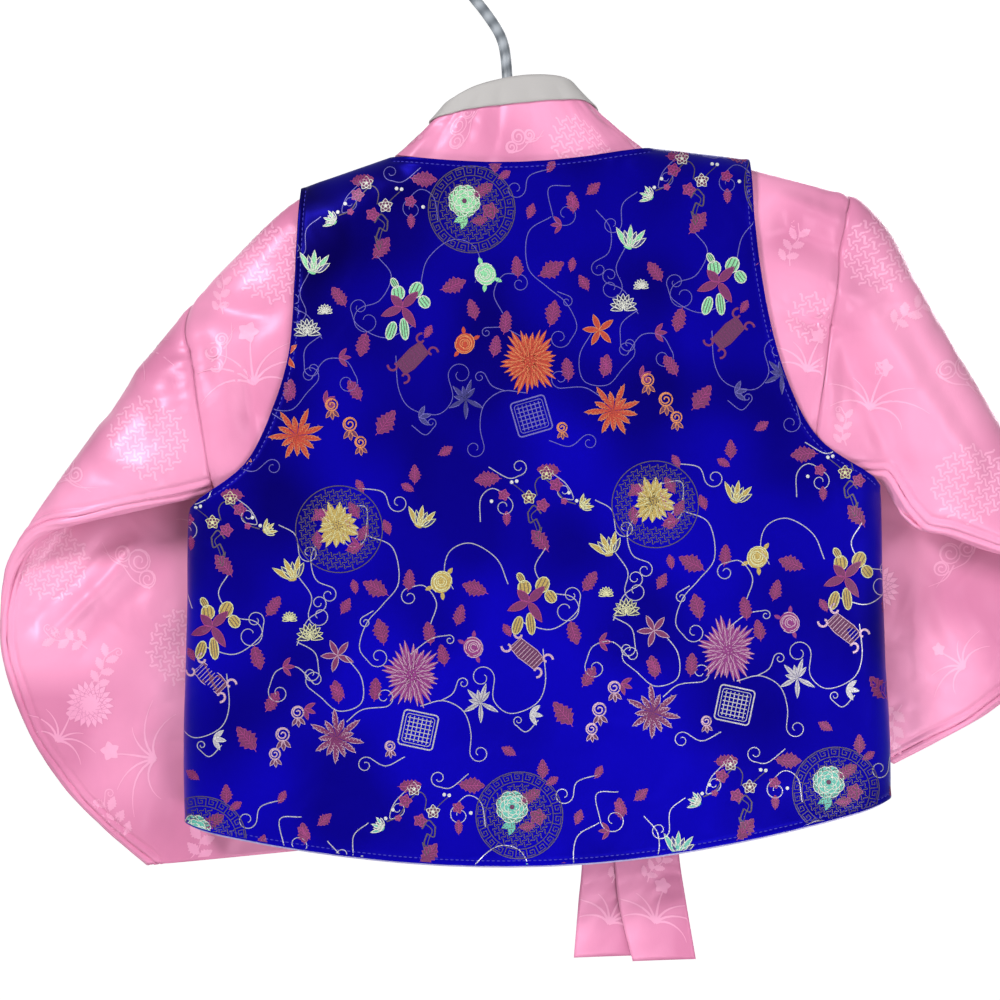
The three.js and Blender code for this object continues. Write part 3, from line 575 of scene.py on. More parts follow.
def sleeve_seam(x, z):
    """The seam that joins sleeve to body draws in the cloth beside it, with small puckers."""
    out = np.abs(x)
    total = np.zeros(np.shape(x))
    for side in (LEFT, RIGHT):
        gap = distance(out, z, [side.seam_top, side.armpit])
        draw = -0.7 * ridge(gap, 0, 2.2) + 0.45 * ridge(gap, 5.5, 3)
        pucker = 0.35 * np.sin(z / 4.1 + 1.7 * np.sin(z / 19)) * ridge(gap, 0, 9)
        total = np.where(x * side.sign > 0, draw + pucker, total)
    return total


def back_relief(x, z):
    return back_folds(x, z) + seam_lips(x, z) + sleeve_seam(x, z)


def front_relief(x, z):
    return front_folds(x, z) + seam_lips(x, z) + sleeve_seam(x, z)


def stitched_edge(x, z, face):
    """The vest's turned edge: a soft roll, the furrow of its stitches and small puckers inside them."""
    rim = vest_rim(x, z, face)
    along = x + 0.8 * z
    pucker = 0.28 * np.sin(along / 3.6 + 1.3 * np.sin(along / 15)) * ridge(rim, 6, 7)
    return 0.25 * ridge(rim, 1.2, 1.1) - 0.42 * ridge(rim, STITCH_IN, 1.0) + pucker


vest_back_folds, vest_front_folds = creases(VEST_BACK_FOLDS), creases(VEST_FRONT_FOLDS)


# ---- jacket ------------------------------------------------------------------------------------
ARMPIT_SHARE = 0.475  # of the way down the side edge


def jacket_side_x(side):
    def at(down):
        share = np.minimum(down / ARMPIT_SHARE, 1)
        below = np.maximum(down - ARMPIT_SHARE, 0) / (1 - ARMPIT_SHARE)
        seam = side.seam_top[0] + (side.armpit[0] - side.seam_top[0]) * share + 3 * below
        return side.sign * (seam - 0.1 * (share < 1))

    return at


# z, inner edge of the left and right jacket front, out from the garment's middle
FRONT_EDGE = np.array([
    (-2, 76.5, 79), (-20, 69.4, 72.6), (-56, 56, 58.6), (-96, 41.6, 43), (-130, 28.8, 30),
    (-150, 8, 14), (-168, -30, -6), (-190, -44, -34), (-235, -52, -52), (-384, -60, -60),
], float)


def back_top_z(x):
    neck = per_side(x, LEFT.neck[0], RIGHT.neck[0])
    dip = np.where(np.abs(x) < neck, 6.5 * np.cos(np.pi / 2 * np.clip(np.abs(x) / neck, 0, 1)), 0)
    return shoulder_z(x) - dip


def hem_at(z):
    return lambda x: np.full(np.shape(x), z)


def two_halves(build):
    """A whole panel's flat x, z from its left and right half, joined down the middle."""
    (xl, zl), (xr, zr) = build(-1), build(1)
    return (np.concatenate([xl, xr[:, ::-1][:, 1:]], axis=1),
            np.concatenate([zl, zr[:, ::-1][:, 1:]], axis=1))


SIDES = {-1: LEFT, 1: RIGHT}
DOWN = spread(150, 0.93)


def jacket_half(sign, far_x, top_z, count):
    return flat_panel(spread(count, 0.6), DOWN, jacket_side_x(SIDES[sign]), far_x, top_z,
                      hem_at(JACKET_HEM_Z))


jacket_back_cloth = Cloth(-1, lambda x, z: folded(x, -jacket_depth(x, z), z), back_relief)
left_front_cloth = Cloth(1, lambda x, z: folded(x, jacket_depth(x, z) + lap_lift(x), z), front_relief)
right_front_cloth = Cloth(1, lambda x, z: folded(x, jacket_depth(x, z), z), front_relief)

x, z = two_halves(lambda s: jacket_half(s, lambda d: 0 * d, back_top_z, 60))
jacket_back = wall_mesh("jacket_back_cloth", jacket_back_cloth.at(x, z), np.stack([x, z], -1), JACKET_WALL,
                        [pink_satin, pink_lining], outward=-1)
settle(jacket_back, "pink_satin", "jacket_back")

for sign, cloth, label in ((-1, left_front_cloth, "left"), (1, right_front_cloth, "right")):
    edge = through(FRONT_EDGE[:, 0], FRONT_EDGE[:, 1 if sign < 0 else 2])
    neck_z = SIDES[sign].neck[1]

    def inner_x(down, edge=edge, sign=sign, neck_z=neck_z):
        return sign * edge(neck_z + (JACKET_HEM_Z - neck_z) * down)

    x, z = jacket_half(sign, inner_x, shoulder_z, 70)
    piece = wall_mesh(f"jacket_front_{label}_cloth", cloth.at(x, z), np.stack([x, z], -1), JACKET_WALL,
                      [pink_satin, pink_lining], outward=sign * -1)
    settle(piece, "pink_satin", f"jacket_front_{label}")


def sleeve_flat(side, along, share):
    down = side.width(along) * share
    out, z = side.sleeve_point(along, down)
    return side.sign * out, z


def sleeve_cloth(face):
    relief = back_relief if face < 0 else front_relief
    return Cloth(face, lambda x, z: folded(x, face * jacket_depth(x, z), z), relief)


for side, label in ((LEFT, "left"), (RIGHT, "right")):
    along = np.linspace(0.3, SLEEVE_LENGTH, 150)
    down = spread(110, 0.97)
    faces = []
    for face in (-1, 1):
        a, d = np.meshgrid(along, down, indexing="ij")
        x, z = sleeve_flat(side, a, d)
        faces.append((sleeve_cloth(face).at(x, z), np.stack([x, z], -1)))
    (back, back_flat), (front, front_flat) = faces
    middle = (back + front) / 2
    back[:, [0, -1]] = front[:, [0, -1]] = middle[:, [0, -1]]
    ring = np.concatenate([back, front[:, ::-1][:, 1:-1]], axis=1)
    flat = np.concatenate([back_flat, front_flat[:, ::-1][:, 1:-1]], axis=1)
    piece = wall_mesh(f"sleeve_{label}_cloth", ring, flat, JACKET_WALL, [pink_satin, pink_lining],
                      wrap=True, outward=side.sign)
    settle(piece, "pink_satin", f"sleeve_{label}")


# ---- vest --------------------------------------------------------------------------------------


def vest_cloth(face):
    over, folds = (VEST_BACK_OVER, vest_back_folds) if face < 0 else (VEST_FRONT_OVER, vest_front_folds)
    return Cloth(face, lambda x, z: np.stack([x, face * vest_depth(x, z, over), z], -1),
                 lambda x, z: folds(x, z) + stitched_edge(x, z, face))


def vest_side_x(sign):
    return lambda down: sign * vest_edge[sign](VEST_TIP_Z[sign] + (VEST_CORNER_Z - VEST_TIP_Z[sign]) * down)


def vest_half(sign, far_x, drop, count):
    return flat_panel(spread(count, 0.75), DOWN, vest_side_x(sign), far_x, vest_top_z,
                      lambda x: vest_hem_z(x, drop))


vest_back_cloth, vest_front_cloth = vest_cloth(-1), vest_cloth(1)
x, z = two_halves(lambda s: vest_half(s, lambda d: 0 * d, HEM_DROP[-1], 80))
vest_back = wall_mesh("vest_back_cloth", vest_back_cloth.at(x, z), np.stack([x, z], -1), VEST_WALL,
                      [blue_satin, blue_lining], outward=-1)
settle(vest_back, "blue_brocade", "vest_back")
for sign, label in ((-1, "left"), (1, "right")):
    def opening_x(down, sign=sign):
        return vest_opening[sign](VEST_NECK_Z + (VEST_CORNER_Z - VEST_NECK_Z) * down)

    x, z = vest_half(sign, opening_x, HEM_DROP[1], 80)
    piece = wall_mesh(f"vest_front_{label}_cloth", vest_front_cloth.at(x, z), np.stack([x, z], -1),
                      VEST_WALL, [blue_satin, blue_lining], outward=-sign)
    settle(piece, "blue_brocade", f"vest_front_{label}")

LINING_ROWS = np.array([5.0, 3.0, 1.0, -0.4, -1.3])  # heights over the outer cloth's hem
LINING_BEHIND = 1.25  # behind the middle of the vest's wall
LINING_WALL = 0.5


def lining_edge(name, face, x):
    """The lining shows as a narrow edge just under the outer cloth's hem."""
    cloth = vest_back_cloth if face < 0 else vest_front_cloth
    columns, rise = np.meshgrid(x, LINING_ROWS)
    z = vest_hem_at(x, face) + rise
    points = cloth.at(columns, z, 0 * columns - LINING_BEHIND)
    return wall_mesh(name, points, np.stack([columns, z], -1), LINING_WALL, [lining_lip], outward=face)


EDGE_AT = {s: float(vest_edge[s](VEST_CORNER_Z)) - 2.5 for s in (-1, 1)}
back_lining = lining_edge("vest_back_lining_edge", -1, np.linspace(-EDGE_AT[-1], EDGE_AT[1], 260))
settle(back_lining, "blue_brocade")
for sign, label in ((-1, "left"), (1, "right")):
    ends = sorted((sign * EDGE_AT[sign], float(vest_opening[sign](VEST_CORNER_Z)) + 2 * sign))
    settle(lining_edge(f"vest_front_{label}_lining_edge", 1, np.linspace(*ends, 120)), "blue_brocade")


# ---- collar ------------------------------------------------------------------------------------
# The band's sewn edge and free edge, from the end on the left front, round the neck and down the
# right front: x, y, z of each. None lies on the front it is sewn to.
BAND = [
    ((-12, None, -172), (32, None, -151)), ((-27, None, -134), (17, None, -114)),
    ((-41, None, -96), (2, None, -76)), ((-55, None, -55), (-14, None, -34)),
    ((-68, 10.5, -20), (-30, 14.5, 4)), ((-74.5, 3, 1), (-42.5, 6.5, 24.5)),
    ((-68, -5.5, 2.5), (-43, -3, 31.5)), ((-40, -10.6, -3), (-27, -8, 40.5)),
    ((1, -11.6, -6.5), (-2, -9, 45.5)), ((43, -10.6, -3), (20, -8.5, 46)),
    ((66, -7, 0), (32.5, -5, 42.5)), ((77, 3, 0), (38.5, 3, 29)),
    ((70, 10.5, -22), (33, 11.5, 4)), ((56, None, -57), (18, None, -32)),
    ((41, None, -96), (1, None, -74)), ((26, None, -134), (-15, None, -113)),
]
BAND_LENGTH = 560.0
BAND_DEPTH = 48.0
ON_LEFT_FRONT = JACKET_WALL / 2 + SEAM_GAP + BAND_WALL / 2  # the left end lies on its front
IN_RIGHT_FRONT = 0.25  # and the right end in the plane of the right front, under the left
STRIP_COVERS = 13.0  # how far the white strip comes down the outside of the band
STRIP_INSIDE = 8.0  # and its inside
STRIP_FROM, STRIP_TO = 0.1, 0.95  # of the band's length


def band_edges():
    edges = []
    for edge in (0, 1):
        rows = []
        for k, row in enumerate(BAND):
            x, y, z = row[edge]
            if y is None:
                left = k < len(BAND) / 2
                front = jacket_depth(np.array(x), np.array(z)) + (lap_lift(x) if left else 0)
                y = float(front) + (ON_LEFT_FRONT if left else IN_RIGHT_FRONT)
            rows.append((x, y, z))
        edges.append(np.array(rows))
    return edges


BASE_EDGE, TOP_EDGE = band_edges()
BAND_KEYS = np.linspace(0, 1, len(BAND))
base_at = [through(BAND_KEYS, BASE_EDGE[:, k]) for k in range(3)]
top_at = [through(BAND_KEYS, TOP_EDGE[:, k]) for k in range(3)]


class BandCloth:
    """The band over its own flat: x runs along it in mm, z up from the sewn edge in mm."""

    face = -1

    def __init__(self, relief=no_relief):
        self.relief = relief

    def base(self, x, z):
        along, up = np.clip(x / BAND_LENGTH, 0, 1), z / BAND_DEPTH
        return np.stack([b(along) + (t(along) - b(along)) * up for b, t in zip(base_at, top_at)], -1)

    def at(self, x, z, lift=0.0):
        x, z = np.asarray(x, float), np.asarray(z, float)
        run = self.base(x + 1.5, z) - self.base(x - 1.5, z)
        across = self.base(x, z + 0.5) - self.base(x, z - 0.5)
        normal = np.cross(run, across)
        normal /= np.maximum(np.linalg.norm(normal, axis=-1, keepdims=True), 1e-9)
        return self.base(x, z) + normal * (self.relief(x, z) + lift)[..., None]


# Gathers of the band round the back of the neck: along, width, depth in mm
BAND_GATHERS = np.array([
    (232, 6, 0.5), (247, 4, -0.6), (258, 5, 0.7), (268, 3.5, -0.7), (277, 4, 0.6), (286, 3, -0.9),
    (296, 5, 0.5), (309, 4, -0.6), (322, 6, 0.7), (337, 4, -0.5), (350, 6, 0.4), (205, 8, -0.4),
    (375, 8, -0.5), (160, 10, 0.4), (110, 9, -0.4), (430, 10, 0.4), (470, 9, -0.4),
])


def band_relief(x, z):
    total = np.zeros(np.shape(x))
    for along, width, depth in BAND_GATHERS:
        lean = x - along - 0.12 * (z - 24)
        total = total + depth * ridge(lean, 0, width) * np.sin(np.pi * np.clip(z / BAND_DEPTH, 0, 1))
    return total


band_cloth = BandCloth(band_relief)
x, z = np.meshgrid(np.linspace(0, BAND_LENGTH, 281), BAND_DEPTH * spread(26, 0.6))
collar_band = wall_mesh("collar_band_cloth", band_cloth.at(x, z, 0 * x), np.stack([x, z], -1), BAND_WALL,
                        [pink_satin, pink_satin])
settle(collar_band, "pink_satin", "collar_band")

# The white strip: up the outside, over the band's free edge and down its inside.
STRIP_OFF = BAND_WALL / 2 + 0.6 + STRIP_WALL / 2
STRIP_RISE = 2.24  # its fold stands this far over the band's edge
along = np.linspace(STRIP_FROM, STRIP_TO, 200) * BAND_LENGTH
turn = np.radians(np.linspace(0, 180, 9))
outside, inside = np.linspace(-STRIP_COVERS, 0, 8)[:-1], np.linspace(0, -STRIP_INSIDE, 6)[1:]
up = np.concatenate([outside, STRIP_RISE * np.sin(turn), inside])
off = np.concatenate([0 * outside + 1, np.cos(turn), 0 * inside - 1]) * STRIP_OFF
measure = np.concatenate([[0], np.cumsum(np.hypot(np.diff(up), np.diff(off)))])
x, drop = np.meshgrid(along, up)
_, off_band = np.meshgrid(along, off)
_, measured = np.meshgrid(along, measure)
collar_strip = wall_mesh("collar_strip_cloth", band_cloth.at(x, BAND_DEPTH + drop, off_band),
                         np.stack([x, measured], -1), STRIP_WALL, [white_cotton, white_cotton])
settle(collar_strip, "white_strip", "collar_strip")


# ---- ribbon ------------------------------------------------------------------------------------
KNOT_AT = np.array([22, 24.2, -176.0])
KNOT_SIZE = np.array([10.8, 5.6, 12.5])
TAIL_WIDTH = 41.0
# z, from x, to x, y down each tail
TAILS = {
    "left": np.array([
        (-188.9, 14, 29, 24), (-215, 8, 44, 23.8), (-260, 9, 50, 23.8), (-330, 15, 57, 24.4),
        (-400, 22, 64, 25.2), (-430, 24, 66, 25.4), (-456, 21, 62, 25.6), (-490, 17, 58, 25.8)]),
    "right": np.array([
        (-188.9, 16, 31, 21.9), (-215, 20, 56, 21.6), (-260, 28, 69, 21.7), (-330, 36, 77, 22.3),
        (-400, 42, 83, 23.1), (-430, 44, 84, 23.2), (-456, 45.5, 87, 23.2), (-493, 53, 92, 23.2)]),
}
# x, y, z and half height along the loop
LOOP = np.array([
    (10.9, 22.4, -174.5, 7), (-4, 21.9, -176, 13), (-26, 21.9, -181, 18), (-46, 22.4, -186, 20),
    (-55, 25.6, -189, 20.5), (-47, 29, -187, 20), (-27, 30, -180, 18), (-6, 28.6, -175, 13),
    (10.9, 26, -174, 7)])


def ribbon_puckers(across, down):
    """Soft cross creases near the knot that fade down the ribbon."""
    gathers = 0.5 * np.exp(-down / 55) * np.sin(across * 9 + 2.2 * np.sin(down / 17))
    return gathers + 0.25 * np.sin(down / 23 + 2 * across)


class TailCloth:
    """A ribbon tail over its own flat: x across it and z down it, its near side facing the back."""

    face = -1

    def __init__(self, rows):
        self.rows = rows

    def at(self, x, z, lift=0.0):
        low, high, y = (through(self.rows[:, 0], self.rows[:, k])(z) for k in (1, 2, 3))
        share, down = x / TAIL_WIDTH, self.rows[0, 0] - z
        wave = (0.35 * np.sin(np.pi * share) + 0.35 * ribbon_puckers(share, down)) * smooth(0, 14, down)
        return np.stack([low + (high - low) * share, y + wave - lift, z], -1)


tail_cloths = {label: TailCloth(rows) for label, rows in TAILS.items()}
for label, rows in TAILS.items():
    x, z = np.meshgrid(np.linspace(0, TAIL_WIDTH, 25), np.linspace(rows[0, 0], rows[-1, 0], 120))
    piece = wall_mesh(f"ribbon_tail_{label}_cloth", tail_cloths[label].at(x, z), np.stack([x, z], -1),
                      RIBBON_WALL, [pink_satin, pink_satin])
    settle(piece, "pink_satin", f"ribbon_tail_{label}")

LOOP_PITCH = 18  # mm of ribbon from one row of the loop to the next
RIBBON_HALF = 20
keys = np.arange(len(LOOP), dtype=float)
up, at = np.meshgrid(np.linspace(-1, 1, 21), np.linspace(0, len(LOOP) - 1, 130))
x, y, z, half = (through(keys, LOOP[:, k])(at) for k in range(4))
from_knot = np.minimum(at, len(LOOP) - 1 - at)
crease = 0.35 * np.sin(up * 5) * np.exp(-from_knot / 1.4) * smooth(0, 0.4, from_knot)
ribbon_loop = wall_mesh("ribbon_loop_cloth", np.stack([x, y + crease, z + up * half], -1),
                        np.stack([at * LOOP_PITCH, up * RIBBON_HALF], -1), RIBBON_WALL,
                        [pink_satin, pink_satin], outward=-1)
settle(ribbon_loop, "pink_satin", "ribbon_loop")


def fuller(wave):
    """A wave with fuller sides, so that the knot is a rounded block."""
    return np.sign(wave) * np.abs(wave) ** 0.7


def tied_knot():
    """One turn of ribbon drawn tight, with its pleats running across it."""
    t, s = np.meshgrid(np.linspace(0, 2 * np.pi, 73)[:-1], np.linspace(-np.pi / 2, np.pi / 2, 33))
    round_knot = fuller(np.cos(s))
    unit = np.stack([round_knot * fuller(np.cos(t)), round_knot * fuller(np.sin(t)), fuller(np.sin(s))], -1)
    pleat = 1 - 0.05 * np.abs(np.sin(unit[..., 0] * 5 + unit[..., 2] * 1.5))
    verts = (KNOT_AT + unit * KNOT_SIZE * pleat[..., None]).reshape(-1, 3)
    rows, columns = t.shape
    quads = []
    for r in range(rows - 1):
        for c in range(columns):
            low, high = r * columns, (r + 1) * columns
            beside = (c + 1) % columns
            quads.append((low + c, low + beside, high + beside, high + c))
    mesh = bpy.data.meshes.new("ribbon_knot_cloth")
    mesh.from_pydata(((verts + GARMENT_AT) * MM).tolist(), [], quads)
    mesh.materials.append(pink_satin)
    mesh.polygons.foreach_set("use_smooth", [True] * len(quads))
    uv = mesh.uv_layers.new(name="flat_cut")
    for loop in mesh.loops:
        uv.data[loop.index].uv = verts[loop.vertex_index][[0, 2]] * MM
    piece = bpy.data.objects.new("ribbon_knot_cloth", mesh)
    bpy.context.scene.collection.objects.link(piece)
    return piece


knot = tied_knot()
settle(knot, "pink_satin", "ribbon_knot")


# ---- hanger ------------------------------------------------------------------------------------


def wrapped_film():
    """Clear film wound round a steel rod: grey and white turns, glossy, with a ridge at each turn."""
    material, tree, shader = new_material("clear_film_wrap")
    place = node(tree, "ShaderNodeTexCoord")
    lean = node(tree, "ShaderNodeMapping", links={"Vector": place.outputs["Object"]},
                values={"Rotation": (0.0, math.radians(-56), 0.0)})
    turns = node(tree, "ShaderNodeTexWave", {"bands_direction": "X"}, {"Vector": lean.outputs[0]},
                 {"Scale": 34.0, "Distortion": 0.4, "Detail": 0.0})
    tone = node(tree, "ShaderNodeMix", {"data_type": "RGBA"}, {"Factor": turns.outputs["Fac"]},
                {COLOUR_A: linear("#666c73"), COLOUR_B: linear("#989ea5")})
    tree.links.new(tone.outputs[MIXED], shader.inputs["Base Color"])
    height = node(tree, "ShaderNodeBump", links={"Height": turns.outputs["Fac"]},
                  values={"Strength": 0.3, "Distance": 0.6 * MM})
    tree.links.new(height.outputs[0], shader.inputs["Normal"])
    shader.inputs["Roughness"].default_value = 0.4
    return material


# The hanger's own facets are joined and rounded off.
clear_film = wrapped_film()
white_plastic = plain("white_hanger_plastic", "#e6e6e2", 0.35)
for name, finish in (("hanger_hook", clear_film), ("hanger_arms", white_plastic)):
    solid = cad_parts[name]
    solid.data.materials.clear()
    solid.data.materials.append(finish)
    joined = solid.modifiers.new("joined", "WELD")
    joined.merge_threshold = 0.01 * MM
    smoother = solid.modifiers.new("smoother", "SUBSURF")
    smoother.levels = smoother.render_levels = 1


# ---- woven figures ---------------------------------------------------------------------------


def turned(points, angle, scale=1.0, at=(0.0, 0.0)):
    c, s = math.cos(angle), math.sin(angle)
    p = np.asarray(points, float) * scale
    return np.stack([p[..., 0] * c - p[..., 1] * s + at[0], p[..., 0] * s + p[..., 1] * c + at[1]], -1)


LAYER_OFFSET = 0.17  # of a layer, which keeps figures that lie on each other apart


class Figures:
    """Flat figures in the cloth's own x, z, kept as triangles with a colour and a layer."""

    def __init__(self):
        self.points, self.colours, self.layers = [], [], []

    def fill(self, outline, colour, layer=0):
        outline = np.asarray(outline, float)
        middle = outline.mean(axis=0)
        nxt = np.roll(outline, -1, axis=0)
        tris = np.stack([np.broadcast_to(middle, outline.shape), outline, nxt], axis=1)
        self.add(tris, colour, layer)

    def stroke(self, line, width, colour, layer=1, closed=False, taper=0.0):
        line = np.asarray(line, float)
        if closed:
            line = np.concatenate([line, line[:1]])
        run = np.gradient(line, axis=0)
        if closed:
            run[0] = run[-1] = line[1] - line[-2]
        run /= np.maximum(np.linalg.norm(run, axis=1, keepdims=True), 1e-9)
        t = np.linspace(0, 1, len(line))
        half = width / 2 * (1 - taper * t)
        side = np.stack([-run[:, 1], run[:, 0]], -1) * half[:, None]
        a, b = line + side, line - side
        self.add(np.stack([a[:-1], b[:-1], b[1:]], 1), colour, layer)
        self.add(np.stack([a[:-1], b[1:], a[1:]], 1), colour, layer)

    def add(self, tris, colour, layer):
        self.points.append(tris)
        self.colours.append(np.full(len(tris), PALETTE.index(colour)))
        self.layers.append(np.full(len(tris), layer + LAYER_OFFSET * (len(self.layers) % 5)))

    def arrays(self):
        return np.concatenate(self.points), np.concatenate(self.colours), np.concatenate(self.layers)


# Thread colours: name, colour, roughness, share of metal
THREADS = {
    "magenta": ("#701a5a", 0.45, 0.0), "rose": ("#a83c82", 0.4, 0.1), "orange": ("#b83c26", 0.42, 0.1),
    "apricot": ("#ee8654", 0.4, 0.1), "green": ("#86cf9a", 0.42, 0.0), "cream": ("#def0cc", 0.4, 0.0),
    "yellow": ("#b89e54", 0.42, 0.1), "straw": ("#f0e2a4", 0.4, 0.1), "lilac": ("#6f68b8", 0.4, 0.15),
    "silver": ("#d2cde4", 0.3, 0.5), "bronze": ("#5c4e58", 0.42, 0.3), "orchid": ("#8e3280", 0.38, 0.2),
    "blush": ("#eeb2c8", 0.32, 0.35), "wine": ("#5c1c50", 0.5, 0.0), "white": ("#f4f2ea", 0.35, 0.1),
    "teal": ("#5fb8a8", 0.42, 0.0), "dusk": ("#3c3884", 0.42, 0.3), "navy": ("#0a0450", 0.5, 0.0),
    "pearl": ("#f6bcd8", 0.3, 0.0), "deep_pink": ("#cf7c9e", 0.45, 0.0),
}
PALETTE = list(THREADS)


def arc(cx, cz, r, start, end, steps=12):
    t = np.radians(np.linspace(start, end, steps))
    return np.stack([cx + r * np.cos(t), cz + r * np.sin(t)], -1)


def flow(points, steps=8):
    """A smooth line through a few points."""
    p = np.asarray(points, float)
    keys = np.arange(len(p))
    t = np.linspace(0, len(p) - 1, (len(p) - 1) * steps + 1)
    return np.stack([through(keys, p[:, 0])(t), through(keys, p[:, 1])(t)], -1)


def petal(length, width, tip=0.0, steps=7):
    """A pointed or round petal along +x from the origin."""
    t = np.linspace(0, 1, steps)
    half = width / 2 * np.sin(np.pi * t ** (0.75 + tip)) ** (0.8 + 0.4 * tip)
    top = np.stack([t * length, half], -1)
    return np.concatenate([top, top[::-1][1:-1] * (1, -1)])


def serrated_leaf(f, x, z, size, angle, body="magenta", rim="rose"):
    t = np.linspace(0, 1, 13)
    half = 0.27 * size * np.sin(np.pi * t ** 0.85) ** 0.8
    half[1:-1:2] *= 1.2
    half[2:-1:2] *= 0.8
    top = np.stack([(t - 0.5) * size, half * (1 + 0.12 * np.sin(9 * t + size))], -1)
    outline = turned(np.concatenate([top, top[::-1][1:-1] * (1, -1)]), angle, 1, (x, z))
    f.fill(outline, body, 0)
    f.stroke(outline, 0.3, rim, 1, closed=True)
    stalk = turned([(-0.6, 0.04), (-0.3, 0), (0.38, 0)], angle, size, (x, z))
    f.stroke(stalk, 0.36, rim, 2)
    for k in (-0.26, -0.12, 0.02, 0.16):
        for s in (-1, 1):
            vein = [(k + 0.03 * s, 0.03 * s), (k + 0.12, s * 0.16)]
            f.stroke(turned(vein, angle, size, (x, z)), 0.34, rim, 2)


def blossom(f, x, z, r, petals, body, rim, core=None, turn=0.0):
    for k in range(petals):
        a = turn + 2 * math.pi * k / petals
        p = turned(petal(r, 0.95 * r, -0.3), a, 1, (x, z))
        f.fill(p, body, 0)
        if rim:
            f.stroke(p, 0.4, rim, 1, closed=True)
    if core:
        f.fill(arc(x, z, 0.24 * r, 0, 324, 8), core, 2)


HEAD_RINGS = ((1.0, 30, 0.085), (0.74, 22, 0.1), (0.46, 13, 0.13))  # reach, petals and their width
DISC_HEAD_RINGS = ((1.0, 16, 0.17), (0.72, 13, 0.19), (0.44, 8, 0.22))


def chrysanthemum(f, x, z, size, angle, body, rim, core, rings=HEAD_RINGS):
    """A head of narrow pointed petals in rings, a little taller than wide, the ground between its tips."""
    for layer, (reach, count, wide) in enumerate(rings):
        for k in range(count):
            a = angle + 2 * math.pi * (k + 0.5 * layer + 0.14 * math.sin(3.7 * k)) / count
            long = size / 2 * reach * (1 + 0.13 * math.sin(5.1 * k + layer)) * (0.9 + 0.2 * abs(math.sin(a)))
            width = wide * size * (1 + 0.2 * math.sin(2.3 * k))
            vein = [(0.42 * long, 0), (0.97 * long, 0)]
            side_vein = [(0.5 * long, 0.3 * wide * size), (0.94 * long, 0)]
            f.fill(turned(petal(long, width, 0.6, 6), a, 1, (x, z)), body, 2 * layer)
            f.stroke(turned(vein, a, 1, (x, z)), 0.34, rim, 2 * layer + 1)
            f.stroke(turned(side_vein, a, 1, (x, z)), 0.22, rim, 2 * layer + 1)
    for k in range(14):
        a, r = 2.4 * k, 0.034 * size * k ** 0.5
        f.fill(arc(x + r * math.cos(a), z + r * math.sin(a), 0.36, 0, 300, 6), core, 7)


# turn in degrees and reach of each petal
STAR_PETALS = (
    (2, 0.95), (26, 0.6), (50, 1.0), (82, 0.66), (108, 1.0), (138, 0.7), (166, 1.0), (196, 0.62),
    (226, 0.86), (254, 0.7), (280, 0.9), (306, 0.72), (334, 0.84),
)


def star_flower(f, x, z, size, angle, body, rim):
    """A lily star: long pointed petals with ragged edges, unevenly spread."""
    for turn, reach in STAR_PETALS:
        a, long = angle + math.radians(turn), size / 2 * reach
        p = turned(petal(long, 0.088 * size, 0.5, 9), a, 1, (x, z))
        f.fill(p, body, 0)
        f.stroke(p[4:13], 0.34, rim, 1)
        for k in (0.3, 0.45, 0.6, 0.75):
            barb = [(k * long, 0), ((k + 0.1) * long, 0.05 * size), ((k + 0.16) * long, 0)]
            f.stroke(turned(barb, a, 1, (x, z)), 0.26, rim, 2)


BAMBOO_LEAVES = ((48, 0.7), (72, 1.0), (100, 0.66), (132, 0.92), (164, 0.6), (205, 0.95), (268, 1.0),
                 (330, 0.98))


def bamboo_star(f, x, z, size, angle, body, rim):
    """Narrow bamboo leaves that spread from one point, each with a dark rib."""
    for turn, reach in BAMBOO_LEAVES:
        a, long = angle + math.radians(turn), size / 2 * reach
        p = turned(petal(long, 0.11 * size, 0.2, 8), a, 1, (x, z))
        f.fill(p, body, 0)
        f.stroke(turned([(0.1 * long, 0), (0.9 * long, 0)], a, 1, (x, z)), 0.24, "dusk", 2)
        f.stroke(p[3:8], 0.36, rim, 1)


def sprout(f, x, z, size, angle, body, rim, leaves=(40, 90, 140)):
    for turn in leaves:
        a = angle + math.radians(turn - 90)
        p = turned(petal(size * 0.6, 0.2 * size, 0.2, 7), a, 1, (x, z))
        f.fill(p, body, 0)
        f.stroke(p, 0.36, rim, 1, closed=True)


def lily_bud(f, x, z, size, angle, body, rim):
    """A half-open bud: nested curved petals on a short stalk."""
    for k in range(6):
        s = (k - 2.5) / 2.5
        a = angle + 1.57 - 0.75 * s
        start = turned([(0.1 * size * s, -0.36 * size)], angle, 1, (x, z))[0]
        p = turned(petal(size * (0.82 - 0.2 * (k % 2)), 0.2 * size, 0.0, 7), a, 1, start)
        f.fill(p, "dusk" if k % 2 else body, k % 3)
        f.stroke(p, 0.5, rim, 4 + k % 2, closed=True)
    foot = turned([(0.1 * size, -0.3 * size)], angle, 1, (x, z))[0]
    f.fill(turned(petal(0.34 * size, 0.26 * size, -0.2), angle + 3.4, 1, foot), body, 1)


def rose_bud(f, x, z, size, angle, body, rim):
    """A round bud: rings of rolled petals, with three small leaves."""
    for k in range(5):
        r = size * (0.42 - 0.075 * k)
        if r < 0.6:
            break
        ring = arc(0, 0, r, 20, 380, 14) * (0.92, 1.0)
        ring[:, 0] += 0.03 * size * math.sin(2.2 * k)
        p = turned(ring, angle + 0.7 * k, 1, (x, z))
        if k == 0:
            f.fill(p, body, 0)
        f.stroke(p[: 10 + (k % 2) * 3], 0.5, rim, 1 + k % 2)
    for turn in (-2.2, -1.0, 1.4):
        root = turned([(0.34 * size, 0)], angle + turn, 1, (x, z))[0]
        f.fill(turned(petal(0.34 * size, 0.16 * size, 0.3), angle + turn, 1, root), body, 0)


